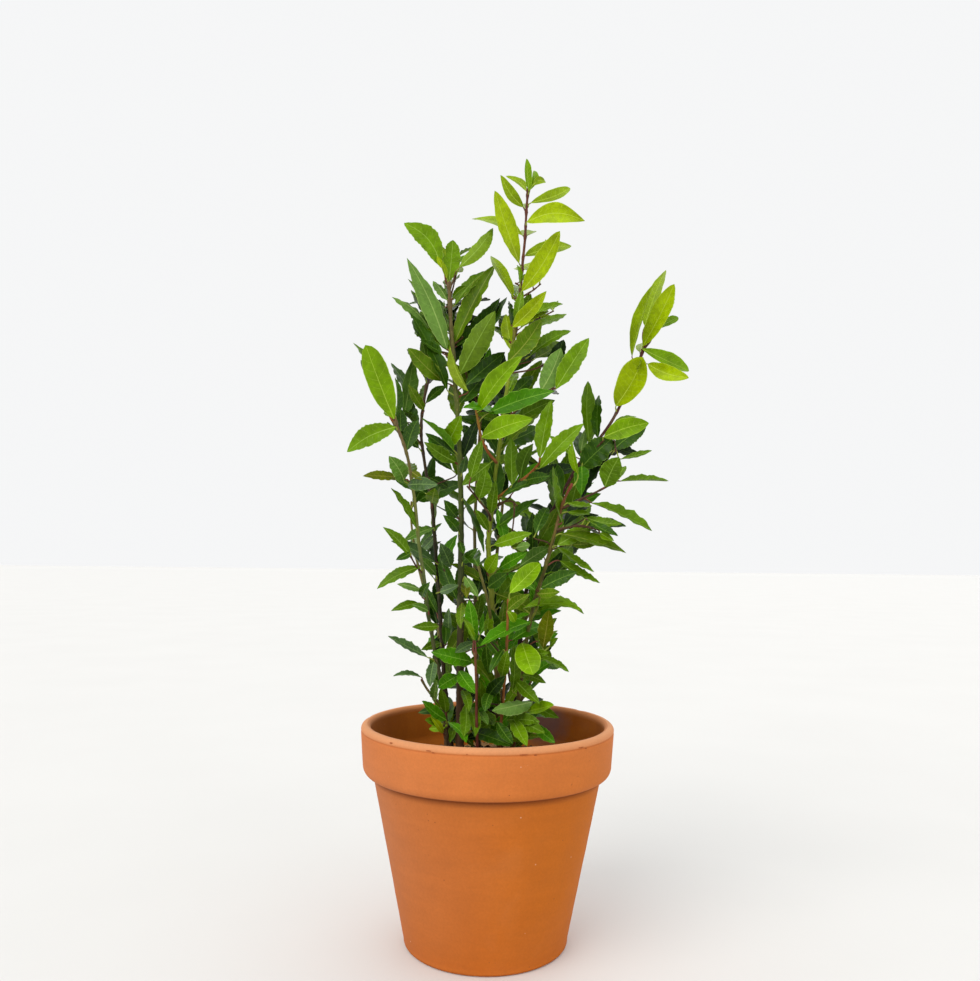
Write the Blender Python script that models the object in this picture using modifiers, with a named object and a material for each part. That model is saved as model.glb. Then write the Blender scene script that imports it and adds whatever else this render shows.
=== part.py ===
"""A young bay laurel bush in a plain terracotta pot.

The part stands on the pot's flat underside.  Origin: the centre of that underside, on the pot's own
axis.  +Z is up, +X is to the plant's right and +Y is to its back.  All lengths are in metres.
Every piece is one closed solid; neighbouring pieces keep a gap of GAP.
"""
import math

import bmesh
import bpy
from mathutils import Matrix, Vector, noise
from mathutils.bvhtree import BVHTree

# ---------------------------------------------------------------- driving sizes
GAP = 0.0004                 # clearance between neighbouring solids

POT_HEIGHT = 0.2338
POT_RIM_RADIUS = 0.140       # outside of the collar at the lip
COLLAR_HEIGHT = 0.0528
COLLAR_FOOT_RADIUS = 0.1372  # outside of the collar where its lower corner starts to round
COLLAR_ROUND = 0.010         # lower corner of the collar
BODY_TOP_RADIUS = 0.1252     # just under the collar
BASE_RADIUS = 0.0893
BASE_ROUND = 0.004
LIP_THICKNESS = 0.0105
WALL = 0.0095
FLOOR = 0.012
TURN_STEPS = 36
DRAIN_RADIUS = 0.007
DRAIN_CIRCLE = 0.046
DRAINS = 3

SOIL_LEVEL = 0.186           # flat middle of the compost
SOIL_FLAT = 0.075
SOIL_DISH = 0.003            # how far the compost falls towards the wall

STEM_POINTS = 14             # rings along a main stem
BOUGH_POINTS = 8
FLARE = 1.55                 # swelling of a stem's foot
FLARE_LENGTH = 0.022

MASS_SEGMENTS = 11
MASS_RINGS = 7
MASS_ROUGHNESS = 0.17        # unevenness of a foliage mass, as a share of its radius
NEIGHBOUR_REACH = 0.88       # masses whose radii meet within this share of their distance are parted by a plane
TIP_SPREAD = 0.54            # radians over which a mass swells out towards a leading leaf tip

# Stems: stations from the soil to the tip, then the radius above the flare and at the tip.
STEMS = {
    "stem_main": (((-0.030, -0.010), (-0.031, -0.009, 0.260), (-0.032, -0.006, 0.413), (-0.034, -0.002, 0.504),
                   (-0.040, 0.004, 0.597), (-0.048, 0.010, 0.691), (-0.051, 0.013, 0.741)), 0.0046, 0.0019),
    "stem_left": (((-0.044, -0.020), (-0.048, -0.024, 0.261), (-0.061, -0.030, 0.326), (-0.076, -0.040, 0.426),
                   (-0.088, -0.050, 0.516), (-0.105, -0.060, 0.566)), 0.0025, 0.0016),
    "stem_left_inner": (((-0.040, 0.010), (-0.048, 0.012, 0.262), (-0.059, 0.017, 0.384), (-0.068, 0.022, 0.479),
                         (-0.082, 0.026, 0.560), (-0.077, 0.030, 0.622)), 0.0026, 0.0016),
    "stem_centre": (((0.015, 0.000), (0.010, 0.000, 0.296), (0.000, 0.000, 0.405), (0.000, 0.000, 0.448),
                     (0.011, -0.003, 0.551), (0.025, -0.006, 0.662), (0.034, -0.006, 0.740),
                     (0.041, -0.004, 0.848)), 0.0036, 0.0013),
    "stem_right": (((0.029, 0.026), (0.039, 0.030, 0.344), (0.059, 0.032, 0.441), (0.078, 0.033, 0.479),
                    (0.107, 0.034, 0.531), (0.147, 0.037, 0.584), (0.181, 0.041, 0.662),
                    (0.186, 0.043, 0.682)), 0.0031, 0.0015),
    "stem_right_front": (((0.026, -0.012), (0.044, -0.020, 0.336), (0.063, -0.028, 0.412), (0.080, -0.036, 0.475),
                          (0.090, -0.040, 0.498)), 0.0028, 0.0015),
    "stem_back": (((-0.010, 0.024), (-0.014, 0.048, 0.320), (-0.018, 0.068, 0.450), (-0.014, 0.078, 0.560),
                   (-0.012, 0.082, 0.640)), 0.0028, 0.0015),
    "shoot_front": (((-0.010, -0.044), (-0.012, -0.050, 0.262), (-0.014, -0.056, 0.318)), 0.0018, 0.0013),
    "shoot_right": (((0.012, -0.030), (0.019, -0.040, 0.300), (0.021, -0.052, 0.372)), 0.0018, 0.0013),
}

# Boughs: the stem that carries each, the height at which it leaves, its further stations, the foliage
# mass it runs to, and its radius at the fork and at the tip.
BOUGHS = {
    "bough_back_left": ("stem_left_inner", 0.325, ((-0.080, 0.060, 0.385), (-0.096, 0.082, 0.450)), "foliage_back_left", 0.0021, 0.0014),
    "bough_back_centre": ("stem_centre", 0.375, ((0.012, 0.045, 0.450), (0.024, 0.082, 0.560)), "foliage_back_centre", 0.0022, 0.0014),
    "bough_back_right": ("stem_right", 0.330, ((0.066, 0.072, 0.400), (0.086, 0.096, 0.470)), "foliage_back_right", 0.0021, 0.0014),
    "bough_back_low": ("stem_right", 0.240, ((0.024, 0.064, 0.285), (0.012, 0.090, 0.330)), "foliage_back_low", 0.0019, 0.0013),
    "bough_front": ("stem_centre", 0.320, ((-0.002, -0.042, 0.372), (-0.016, -0.070, 0.425)), "foliage_front", 0.0019, 0.0013),
    "bough_left_foot": ("stem_left", 0.250, ((-0.066, -0.026, 0.272), (-0.078, -0.020, 0.292)), "foliage_left_foot", 0.0016, 0.0012),
    "bough_right_foot": ("stem_right_front", 0.252, ((0.040, -0.026, 0.268), (0.050, -0.028, 0.290)), "foliage_right_foot", 0.0016, 0.0012),
}

# Foliage masses: centre, half sizes, and the leading leaf tips that each reaches.
MASSES = {
    "foliage_tip_main": ((-0.050, 0.010, 0.772), (0.047, 0.045, 0.040), ((-0.103, -0.010, 0.803), (0.000, -0.006, 0.800), (-0.046, 0.045, 0.806))),
    "foliage_main_upper": ((-0.047, 0.006, 0.678), (0.056, 0.060, 0.062), ((-0.099, -0.020, 0.757), (0.005, 0.000, 0.746), (-0.093, -0.040, 0.690), (-0.020, 0.075, 0.700))),
    "foliage_tip_centre": ((0.046, -0.003, 0.824), (0.047, 0.045, 0.050), ((0.040, 0.000, 0.887), (0.107, -0.010, 0.809), (0.004, 0.000, 0.862), (-0.024, 0.006, 0.809), (0.090, 0.020, 0.849))),
    "foliage_centre_high": ((0.048, -0.002, 0.728), (0.050, 0.055, 0.047), ((0.093, 0.010, 0.780), (0.088, 0.000, 0.709), (-0.002, -0.020, 0.768), (0.040, 0.070, 0.742))),
    "foliage_centre_upper": ((0.050, -0.002, 0.636), (0.056, 0.058, 0.045), ((0.112, -0.020, 0.664), (0.090, -0.030, 0.608), (-0.008, -0.030, 0.600))),
    "foliage_left_top": ((-0.106, -0.032, 0.602), (0.036, 0.052, 0.043), ((-0.139, -0.050, 0.648), (-0.157, -0.020, 0.658), (-0.160, -0.060, 0.540), (-0.091, 0.000, 0.652), (-0.054, 0.030, 0.613))),
    "foliage_left_mid": ((-0.092, -0.026, 0.512), (0.040, 0.056, 0.036), ((-0.138, -0.050, 0.505), (-0.112, -0.030, 0.540))),
    "foliage_left_low_mid": ((-0.080, -0.016, 0.434), (0.035, 0.048, 0.032), ((-0.115, -0.050, 0.448), (-0.108, -0.040, 0.478))),
    "foliage_left_low": ((-0.078, -0.012, 0.364), (0.038, 0.050, 0.031), ((-0.123, -0.030, 0.381), (-0.107, -0.030, 0.347))),
    "foliage_left_foot": ((-0.078, -0.010, 0.300), (0.030, 0.045, 0.026), ((-0.112, -0.030, 0.325), (-0.105, -0.020, 0.286))),
    "foliage_main_mid": ((-0.052, -0.018, 0.550), (0.027, 0.044, 0.032), ((-0.076, -0.040, 0.546),)),
    "foliage_centre_mid": ((0.020, -0.026, 0.548), (0.048, 0.052, 0.038), ((0.067, -0.030, 0.588), (0.101, -0.050, 0.566))),
    "foliage_centre_core": ((0.026, -0.014, 0.460), (0.045, 0.050, 0.046), ((0.060, -0.060, 0.500), (0.070, -0.050, 0.420))),
    "foliage_right_tip": ((0.196, 0.038, 0.688), (0.031, 0.044, 0.056), ((0.211, 0.040, 0.769), (0.193, 0.060, 0.755), (0.219, 0.030, 0.742), (0.235, 0.020, 0.640))),
    "foliage_right_upper": ((0.146, 0.018, 0.580), (0.042, 0.058, 0.048), ((0.113, 0.000, 0.621), (0.177, -0.030, 0.568), (0.168, 0.060, 0.600))),
    "foliage_right_mid": ((0.122, -0.006, 0.478), (0.052, 0.062, 0.040), ((0.203, -0.020, 0.506), (0.181, -0.030, 0.448), (0.186, 0.000, 0.534), (0.149, -0.040, 0.423))),
    "foliage_centre_low": ((-0.016, -0.034, 0.352), (0.031, 0.044, 0.052), ((-0.046, -0.060, 0.322), (0.018, -0.060, 0.396))),
    "foliage_right_low": ((0.064, -0.024, 0.378), (0.042, 0.055, 0.036), ((0.122, -0.030, 0.390), (0.105, -0.040, 0.356))),
    "foliage_right_foot": ((0.052, -0.022, 0.304), (0.036, 0.052, 0.034), ((0.087, -0.040, 0.294), (0.078, -0.050, 0.270))),
    "foliage_foot": ((0.000, -0.002, 0.247), (0.064, 0.054, 0.026), ((-0.076, -0.020, 0.262), (0.076, -0.020, 0.246), (0.066, -0.050, 0.226))),
    "foliage_back_left": ((-0.096, 0.090, 0.474), (0.040, 0.044, 0.058), ((-0.120, 0.135, 0.520),)),
    "foliage_back_centre": ((0.024, 0.094, 0.592), (0.044, 0.044, 0.055), ((0.020, 0.150, 0.630),)),
    "foliage_back_right": ((0.086, 0.100, 0.492), (0.046, 0.044, 0.056), ((0.120, 0.150, 0.520),)),
    "foliage_back_low": ((0.004, 0.092, 0.352), (0.050, 0.044, 0.046), ((-0.030, 0.142, 0.380),)),
    "foliage_back_top": ((-0.022, 0.094, 0.676), (0.034, 0.040, 0.044), ((-0.030, 0.135, 0.715),)),
    "foliage_front": ((-0.020, -0.086, 0.452), (0.036, 0.036, 0.044), ((-0.048, -0.128, 0.456), (0.014, -0.134, 0.470))),
}

# ---------------------------------------------------------------- scene and materials
for old in list(bpy.data.objects):
    bpy.data.objects.remove(old, do_unlink=True)

plant = bpy.data.collections.new("bay_laurel_in_pot")
cutters = bpy.data.collections.new("cutters")
bpy.context.scene.collection.children.link(plant)
bpy.context.scene.collection.children.link(cutters)


def material(name, colour, roughness, metallic=0.0):
    made = bpy.data.materials.new(name)
    made.use_nodes = True
    shader = made.node_tree.nodes["Principled BSDF"]
    shader.inputs["Base Color"].default_value = (*colour, 1.0)
    shader.inputs["Roughness"].default_value = roughness
    shader.inputs["Metallic"].default_value = metallic
    made.diffuse_color = (*colour, 1.0)
    return made


def place(name, mesh, colour, roughness, collection=plant):
    piece = bpy.data.objects.new(name, mesh)
    mesh.materials.clear()
    mesh.materials.append(material(name, colour, roughness))
    collection.objects.link(piece)
    return piece


def hide_cutter(piece):
    for holder in list(piece.users_collection):
        holder.objects.unlink(piece)
    cutters.objects.link(piece)
    piece.hide_render = True
    piece.display_type = "WIRE"


# ---------------------------------------------------------------- turned pieces
def turned(name, profile, colour, roughness):
    """A solid of revolution from an open profile that starts and ends on the axis and runs down its outer side."""
    mesh = bpy.data.meshes.new(name)
    mesh.from_pydata([(r, 0.0, z) for r, z in profile], [(i, i + 1) for i in range(len(profile) - 1)], [])
    piece = place(name, mesh, colour, roughness)
    screw = piece.modifiers.new("turn", "SCREW")
    screw.axis = "Z"
    screw.angle = math.tau
    screw.steps = TURN_STEPS
    screw.render_steps = TURN_STEPS
    screw.use_merge_vertices = True
    screw.merge_threshold = 0.0001
    screw.use_smooth_shade = True
    return piece


def arc(centre_r, centre_z, radius_r, radius_z, start, end, count):
    """Points on a quarter round, from the angle start to end in degrees."""
    return [
        (centre_r + radius_r * math.cos(math.radians(a)), centre_z + radius_z * math.sin(math.radians(a)))
        for a in (start + (end - start) * i / (count - 1) for i in range(count))
    ]


collar_foot = POT_HEIGHT - COLLAR_HEIGHT
inner_rim = POT_RIM_RADIUS - LIP_THICKNESS
inner_body = BODY_TOP_RADIUS - WALL
inner_base = BASE_RADIUS - WALL + 0.003
inner_wall = [(inner_base, FLOOR), (inner_body, collar_foot - 0.004), (inner_rim - 0.0022, collar_foot + 0.012)]
lip = arc(inner_rim + LIP_THICKNESS / 2, POT_HEIGHT - 0.0048, LIP_THICKNESS / 2, 0.0048, 180, 0, 6)
collar_corner = arc(COLLAR_FOOT_RADIUS - COLLAR_ROUND * 0.75, collar_foot + COLLAR_ROUND, COLLAR_ROUND * 0.75, COLLAR_ROUND, 0, -80, 4)
base_corner = arc(BASE_RADIUS - BASE_ROUND, BASE_ROUND, BASE_ROUND, BASE_ROUND, -12, -90, 3)

pot_profile = (
    [(0.0, FLOOR)]
    + inner_wall
    + lip
    + collar_corner
    + [(BODY_TOP_RADIUS - 0.0006, collar_foot - 0.0006), (BODY_TOP_RADIUS, collar_foot - 0.004)]
    + base_corner
    + [(0.0, 0.0)]
)
pot = turned("pot", pot_profile, (0.62, 0.245, 0.092), 0.85)

for i in range(DRAINS):
    a = math.tau * (i + 0.25) / DRAINS
    mesh = bpy.data.meshes.new(f"drain_cutter_{i + 1}")
    drill = bmesh.new()
    bmesh.ops.create_cone(drill, cap_ends=True, segments=16, radius1=DRAIN_RADIUS, radius2=DRAIN_RADIUS, depth=FLOOR * 3)
    drill.to_mesh(mesh)
    drill.free()
    cutter = bpy.data.objects.new(mesh.name, mesh)
    cutter.location = (DRAIN_CIRCLE * math.cos(a), DRAIN_CIRCLE * math.sin(a), 0.0)
    cutters.objects.link(cutter)
    hide_cutter(cutter)
    hole = pot.modifiers.new(f"drain_{i + 1}", "BOOLEAN")
    hole.operation = "DIFFERENCE"
    hole.solver = "EXACT"
    hole.object = cutter


def inner_radius(z):
    """Radius of the pot's inside at a height."""
    wall = inner_wall + [(inner_rim, POT_HEIGHT - 0.0048)]
    for (r0, z0), (r1, z1) in zip(wall, wall[1:]):
        if z <= z1:
            return r0 + (r1 - r0) * (z - z0) / (z1 - z0)
    return wall[-1][0]


soil_edge = SOIL_LEVEL - SOIL_DISH
soil_floor = FLOOR + GAP
compost_profile = [
    (0.0, SOIL_LEVEL),
    (SOIL_FLAT, SOIL_LEVEL),
    (inner_radius(soil_edge) - GAP - 0.006, soil_edge + 0.0006),
    (inner_radius(soil_edge) - GAP * 2, soil_edge),
    (inner_radius(collar_foot - 0.004) - GAP * 2, collar_foot - 0.004),
    (inner_radius(soil_floor) - GAP * 2, soil_floor),
    (0.0, soil_floor),
]
turned("compost", compost_profile, (0.050, 0.032, 0.020), 0.95)


# ---------------------------------------------------------------- stems and boughs
def smooth_route(stations, count):
    """Evenly spaced points on the smooth curve through the stations."""
    pts = [Vector(p) for p in stations]
    ends = [pts[0] * 2 - pts[1]] + pts + [pts[-1] * 2 - pts[-2]]
    fine = []
    for i in range(1, len(ends) - 2):
        p0, p1, p2, p3 = ends[i - 1 : i + 3]
        for k in range(24):
            t = k / 24
            fine.append(
                0.5 * ((2 * p1) + (p2 - p0) * t + (2 * p0 - 5 * p1 + 4 * p2 - p3) * t * t + (3 * p1 - p0 - 3 * p2 + p3) * t ** 3)
            )
    fine.append(pts[-1])
    travelled = [0.0]
    for a, b in zip(fine, fine[1:]):
        travelled.append(travelled[-1] + (b - a).length)
    out, j = [], 0
    for k in range(count):
        want = travelled[-1] * k / (count - 1)
        while j < len(fine) - 2 and travelled[j + 1] < want:
            j += 1
        share = (want - travelled[j]) / max(travelled[j + 1] - travelled[j], 1e-9)
        out.append(fine[j].lerp(fine[j + 1], min(max(share, 0.0), 1.0)))
    return out


def tube_mesh(name, route, radii, resolution=2):
    """A round tapering limb as one closed mesh, from a curve with a bevel and filled caps."""
    curve = bpy.data.curves.new(name, "CURVE")
    curve.dimensions = "3D"
    curve.bevel_depth = 1.0
    curve.bevel_resolution = resolution
    curve.use_fill_caps = True
    spline = curve.splines.new("POLY")
    spline.points.add(len(route) - 1)
    for point, at, radius in zip(spline.points, route, radii):
        point.co = (*at, 1.0)
        point.radius = radius
    guide = bpy.data.objects.new(name + "_curve", curve)
    bpy.context.scene.collection.objects.link(guide)
    evaluated = guide.evaluated_get(bpy.context.evaluated_depsgraph_get())
    mesh = bpy.data.meshes.new_from_object(evaluated)
    mesh.transform(guide.matrix_world)
    shape = bmesh.new()
    shape.from_mesh(mesh)
    bmesh.ops.remove_doubles(shape, verts=shape.verts, dist=0.00002)
    bmesh.ops.recalc_face_normals(shape, faces=shape.faces)
    shape.to_mesh(mesh)
    shape.free()
    bpy.data.objects.remove(guide, do_unlink=True)
    bpy.data.curves.remove(curve)
    mesh.name = name
    mesh.shade_smooth()
    mesh.set_sharp_from_angle(angle=math.radians(60))
    return mesh


def stem_route(name):
    """Ring centres and radii of a stem: a flat cut on the soil, a flare, then an even taper."""
    stations, foot_radius, tip_radius = STEMS[name]
    foot = Vector((*stations[0], SOIL_LEVEL + GAP))
    count = STEM_POINTS if len(stations) > 3 else 8
    above = foot + Vector((0.0, 0.0, FLARE_LENGTH * 0.45))
    upper = smooth_route([above] + [Vector(p) for p in stations[1:]], count)
    route = [foot] + upper
    reach = route[-1].z - foot.z
    radii = []
    for p in route:
        share = (p.z - foot.z) / reach
        flare = (FLARE - 1.0) * math.exp(-2.6 * (p.z - foot.z) / FLARE_LENGTH)
        radii.append((foot_radius + (tip_radius - foot_radius) * share ** 0.85) * (1.0 + flare))
    return route, radii


routes = {name: stem_route(name) for name in STEMS}


def at_height(route, radii, z):
    for i in range(len(route) - 1):
        if route[i + 1].z >= z:
            share = (z - route[i].z) / (route[i + 1].z - route[i].z)
            return route[i].lerp(route[i + 1], share), radii[i] + (radii[i + 1] - radii[i]) * share, (route[i + 1] - route[i]).normalized()
    return route[-1], radii[-1], (route[-1] - route[-2]).normalized()


# ---------------------------------------------------------------- foliage masses
def ellipsoid_radius(half, direction):
    return 1.0 / math.sqrt(sum((direction[i] / half[i]) ** 2 for i in range(3)))


def between(first, second):
    """The plane that parts two masses: its unit normal, out of the first, and its distance from the first's centre."""
    c0, h0, _ = MASSES[first]
    c1, h1, _ = MASSES[second]
    way = Vector(c1) - Vector(c0)
    distance = way.length
    way.normalize()
    r0 = ellipsoid_radius(h0, way)
    r1 = ellipsoid_radius(h1, way)
    return way, distance * r0 / (r0 + r1), r0 + r1 > distance * NEIGHBOUR_REACH


def mass_mesh(name, seed):
    """An uneven closed mass: a sphere pushed out to its half sizes, roughened, and drawn to its leaf tips."""
    centre, half, tips = MASSES[name]
    centre = Vector(centre)
    planes = [(normal, limit - GAP) for normal, limit, _ in (between(name, other) for other in sorted(neighbours[name]))]
    shape = bmesh.new()
    bmesh.ops.create_uvsphere(shape, u_segments=MASS_SEGMENTS, v_segments=MASS_RINGS, radius=1.0)
    turn = Matrix.Rotation(seed * 0.7, 4, "Z") @ Matrix.Rotation(0.35 + 0.2 * math.sin(seed), 4, "X")
    bmesh.ops.transform(shape, matrix=turn, verts=shape.verts)
    taken = {}
    for tip in tips:
        way = (Vector(tip) - centre).normalized()
        free = [v for v in shape.verts if v.index not in taken]
        nearest = max(free, key=lambda v: v.co.normalized().dot(way))
        taken[nearest.index] = Vector(tip) - centre
    for vertex in shape.verts:
        way = vertex.co.normalized()
        radius = ellipsoid_radius(half, way)
        bump = noise.noise(way * 1.9 + Vector((seed * 3.7, 0.0, 0.0))) + 0.5 * noise.noise(way * 4.1 + Vector((0.0, seed * 2.3, 0.0)))
        radius *= 1.0 + MASS_ROUGHNESS * bump
        for tip in tips:
            reach = Vector(tip) - centre
            angle = way.angle(reach)
            if angle < TIP_SPREAD and reach.length > radius:
                radius += (reach.length - radius) * (1.0 - angle / TIP_SPREAD) ** 1.6
        out = way * radius
        if vertex.index in taken:
            out = taken[vertex.index].copy()
        for normal, limit in planes:
            along = out.dot(normal)
            if along > limit:
                out *= limit / along
        vertex.co = centre + out
    mesh = bpy.data.meshes.new(name)
    bmesh.ops.triangulate(shape, faces=shape.faces)
    bmesh.ops.recalc_face_normals(shape, faces=shape.faces)
    shape.to_mesh(mesh)
    shape.free()
    return mesh


def tree_of(mesh):
    shape = bmesh.new()
    shape.from_mesh(mesh)
    tree = BVHTree.FromBMesh(shape)
    shape.free()
    return tree


# Masses that nearly touch are parted by a plane, and so is any pair whose tips would still cross.
neighbours = {name: {other for other in MASSES if other != name and between(name, other)[2]} for name in MASSES}
for _ in range(4):
    mass_meshes = {name: mass_mesh(name, i + 1) for i, name in enumerate(MASSES)}
    mass_trees = {name: tree_of(mesh) for name, mesh in mass_meshes.items()}
    crossing = [
        (a, b) for a in MASSES for b in MASSES if a < b and b not in neighbours[a] and mass_trees[a].overlap(mass_trees[b])
    ]
    for a, b in crossing:
        neighbours[a].add(b)
        neighbours[b].add(a)
    if not crossing:
        break


def depth_inside(tree, point):
    """How deep a point lies inside a mass; negative outside."""
    near, normal, _, distance = tree.find_nearest(point)
    return distance if (point - near).dot(normal) < 0 else -distance


# A bough starts beside its stem and ends just short of the mass that it carries.
for name, (carrier, height, stations, goal, fork_radius, tip_radius) in BOUGHS.items():
    start, stem_radius, along = at_height(*routes[carrier], height)
    out = (Vector(stations[0]) - start)
    out = (out - along * out.dot(along)).normalized()
    start = start + out * (stem_radius + fork_radius + GAP * 1.5)
    route = smooth_route([start] + [Vector(p) for p in stations], 40)
    end = len(route)
    for i, point in enumerate(route):
        if depth_inside(mass_trees[goal], point) > -(tip_radius + GAP):
            end = i
            break
    route = smooth_route(route[: max(end, 4)], BOUGH_POINTS)
    radii = [fork_radius + (tip_radius - fork_radius) * i / (BOUGH_POINTS - 1) for i in range(BOUGH_POINTS)]
    routes[name] = (route, radii)

BARK = {
    "stem_main": (0.090, 0.070, 0.045), "stem_left": (0.120, 0.115, 0.040), "stem_left_inner": (0.060, 0.035, 0.025),
    "stem_centre": (0.160, 0.130, 0.045), "stem_right": (0.055, 0.030, 0.028), "stem_right_front": (0.170, 0.105, 0.045),
    "stem_back": (0.085, 0.065, 0.040), "shoot_front": (0.180, 0.060, 0.035), "shoot_right": (0.230, 0.105, 0.040),
}
for name, (route, radii) in routes.items():
    place(name, tube_mesh(name, route, radii), BARK.get(name, (0.110, 0.085, 0.040)), 0.6)

# Each mass is cut round every stem or bough that runs through it.
LEAF_GREENS = ((0.060, 0.150, 0.025), (0.045, 0.115, 0.022), (0.095, 0.200, 0.030), (0.052, 0.130, 0.040))
for i, (name, mesh) in enumerate(mass_meshes.items()):
    mass = place(name, mesh, LEAF_GREENS[i % len(LEAF_GREENS)], 0.55)
    for limb, (route, radii) in routes.items():
        depths = []
        for a, b, ra in zip(route, route[1:], radii):
            for k in range(6):
                depths.append(depth_inside(mass_trees[name], a.lerp(b, k / 6)) + ra + GAP)
        depths.append(depth_inside(mass_trees[name], route[-1]) + radii[-1] + GAP)
        if max(depths) < 0:
            continue
        tip = route[-1] + (route[-1] - route[-2]).normalized() * GAP * 1.5
        foot = route[0] - (route[1] - route[0]).normalized() * GAP * 1.5
        wide = [r * 1.19 + GAP * 1.4 for r in radii]  # six flats that clear the limb's eight
        cutter = bpy.data.objects.new(f"{name}_{limb}_cutter", tube_mesh(f"{name}_{limb}_cutter", [foot] + route[1:-1] + [tip], wide, 1))
        cutters.objects.link(cutter)
        hide_cutter(cutter)
        cut = mass.modifiers.new(limb, "BOOLEAN")
        cut.operation = "DIFFERENCE"
        cut.solver = "EXACT"
        cut.object = cutter
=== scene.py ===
"""Looks for the young bay laurel bush in its terracotta pot: fine turned pot, compost with litter, barked
stems and shoots, and leaves grown on them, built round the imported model."""

import math
import random

import bmesh
import bpy
import numpy as np
from mathutils import Matrix, Vector, noise
from mathutils.bvhtree import BVHTree


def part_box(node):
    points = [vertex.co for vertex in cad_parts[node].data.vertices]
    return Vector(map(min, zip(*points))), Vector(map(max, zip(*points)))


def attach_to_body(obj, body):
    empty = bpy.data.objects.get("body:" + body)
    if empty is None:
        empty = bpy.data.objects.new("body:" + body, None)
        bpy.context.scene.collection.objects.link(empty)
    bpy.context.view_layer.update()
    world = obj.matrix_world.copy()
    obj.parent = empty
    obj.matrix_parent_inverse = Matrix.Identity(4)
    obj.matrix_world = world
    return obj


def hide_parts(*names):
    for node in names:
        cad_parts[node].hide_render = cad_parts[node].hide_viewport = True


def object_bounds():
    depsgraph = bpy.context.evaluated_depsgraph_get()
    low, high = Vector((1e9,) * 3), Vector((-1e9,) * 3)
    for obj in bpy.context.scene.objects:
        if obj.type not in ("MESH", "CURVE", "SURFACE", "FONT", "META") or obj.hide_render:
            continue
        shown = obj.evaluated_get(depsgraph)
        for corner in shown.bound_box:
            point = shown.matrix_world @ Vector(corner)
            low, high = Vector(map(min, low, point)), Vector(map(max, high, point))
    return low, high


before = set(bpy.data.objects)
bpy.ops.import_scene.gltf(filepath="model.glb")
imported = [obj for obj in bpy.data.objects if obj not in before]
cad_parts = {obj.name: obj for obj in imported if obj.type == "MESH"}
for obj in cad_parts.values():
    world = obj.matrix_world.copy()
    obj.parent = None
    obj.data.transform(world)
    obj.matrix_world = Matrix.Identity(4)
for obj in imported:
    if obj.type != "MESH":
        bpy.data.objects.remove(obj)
CAD_BOX = [list(map(float, c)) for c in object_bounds()]

# =============================================================================== camera
# The photograph's view: 980 x 981 pixels, level with the middle of the plant, tilted up a little.
FOCAL_PX = 850.0
CAMERA_Y, CAMERA_Z = -0.969, 0.4151
PITCH, ROLL = math.radians(4.59), math.radians(0.6)
CENTRE_PX = (490.0, 490.5)


def camera_turn():
    return Matrix.Rotation(math.radians(90) + PITCH, 3, "X") @ Matrix.Rotation(ROLL, 3, "Z")


cam_data = bpy.data.cameras.new("camera")
cam_data.lens = FOCAL_PX * 36.0 / 981.0
cam_data.sensor_width = 36.0
cam_data.clip_start = 0.05
cam_data.clip_end = 100.0
camera = bpy.data.objects.new("camera", cam_data)
camera.matrix_world = Matrix.Translation((0.0, CAMERA_Y, CAMERA_Z)) @ camera_turn().to_4x4()
bpy.context.scene.collection.objects.link(camera)
bpy.context.scene.camera = camera
TURN = np.array(camera_turn())
bpy.context.scene.view_settings.view_transform = "Standard"


def at_pixel(px, py, y):
    """The point at depth y that the camera sees at a pixel."""
    way = TURN @ np.array([px - CENTRE_PX[0], -(py - CENTRE_PX[1]), -FOCAL_PX])
    t = (y - CAMERA_Y) / way[1]
    return np.array([way[0] * t, y, CAMERA_Z + way[2] * t])


def pixel_of(points):
    local = (np.atleast_2d(points) - np.array([0.0, CAMERA_Y, CAMERA_Z])) @ TURN
    return np.stack([CENTRE_PX[0] - FOCAL_PX * local[:, 0] / local[:, 2], CENTRE_PX[1] + FOCAL_PX * local[:, 1] / local[:, 2]], -1)


# =============================================================================== mesh gathering
class Gather:
    """Vertices and faces of many small shapes, joined into one mesh with numbered materials."""

    def __init__(self):
        self.v, self.f, self.m, self.n = [], [], [], 0

    def add(self, verts, quads, material=0):
        verts = np.asarray(verts, np.float64).reshape(-1, 3)
        quads = np.asarray(quads, np.int64).reshape(-1, 4)
        self.v.append(verts)
        self.f.append(quads + self.n)
        self.m.append(np.full(len(quads), material, np.int32))
        self.n += len(verts)

    def mesh(self, name):
        verts = np.concatenate(self.v)
        quads = np.concatenate(self.f)
        mats = np.concatenate(self.m)
        triangle = quads[:, 3] == quads[:, 2]
        sizes = np.where(triangle, 3, 4)
        starts = np.concatenate([[0], np.cumsum(sizes)[:-1]])
        loops = quads.reshape(-1)[np.stack([np.ones(len(quads), bool)] * 3 + [~triangle], -1).reshape(-1)]
        mesh = bpy.data.meshes.new(name)
        mesh.vertices.add(len(verts))
        mesh.vertices.foreach_set("co", verts.reshape(-1).astype(np.float32))
        mesh.loops.add(len(loops))
        mesh.loops.foreach_set("vertex_index", loops.astype(np.int32))
        mesh.polygons.add(len(quads))
        mesh.polygons.foreach_set("loop_start", starts.astype(np.int32))
        mesh.polygons.foreach_set("material_index", mats)
        mesh.polygons.foreach_set("use_smooth", np.ones(len(quads), bool))
        mesh.update(calc_edges=True)
        mesh.validate()
        return mesh


def grid_quads(rows, cols, wrap=False, flip=False):
    r = np.arange(rows - 1)[:, None]
    c = np.arange(cols if wrap else cols - 1)[None, :]
    a = r * cols + c
    b = r * cols + (c + 1) % cols
    q = np.stack([a, b, b + cols, a + cols], -1).reshape(-1, 4)
    return q[:, ::-1] if flip else q


# =============================================================================== materials
def srgb(r, g, b):
    """Linear colour from 0-255 display values."""
    def one(c):
        c /= 255.0
        return c / 12.92 if c <= 0.04045 else ((c + 0.055) / 1.055) ** 2.4
    return (one(r), one(g), one(b))


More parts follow.
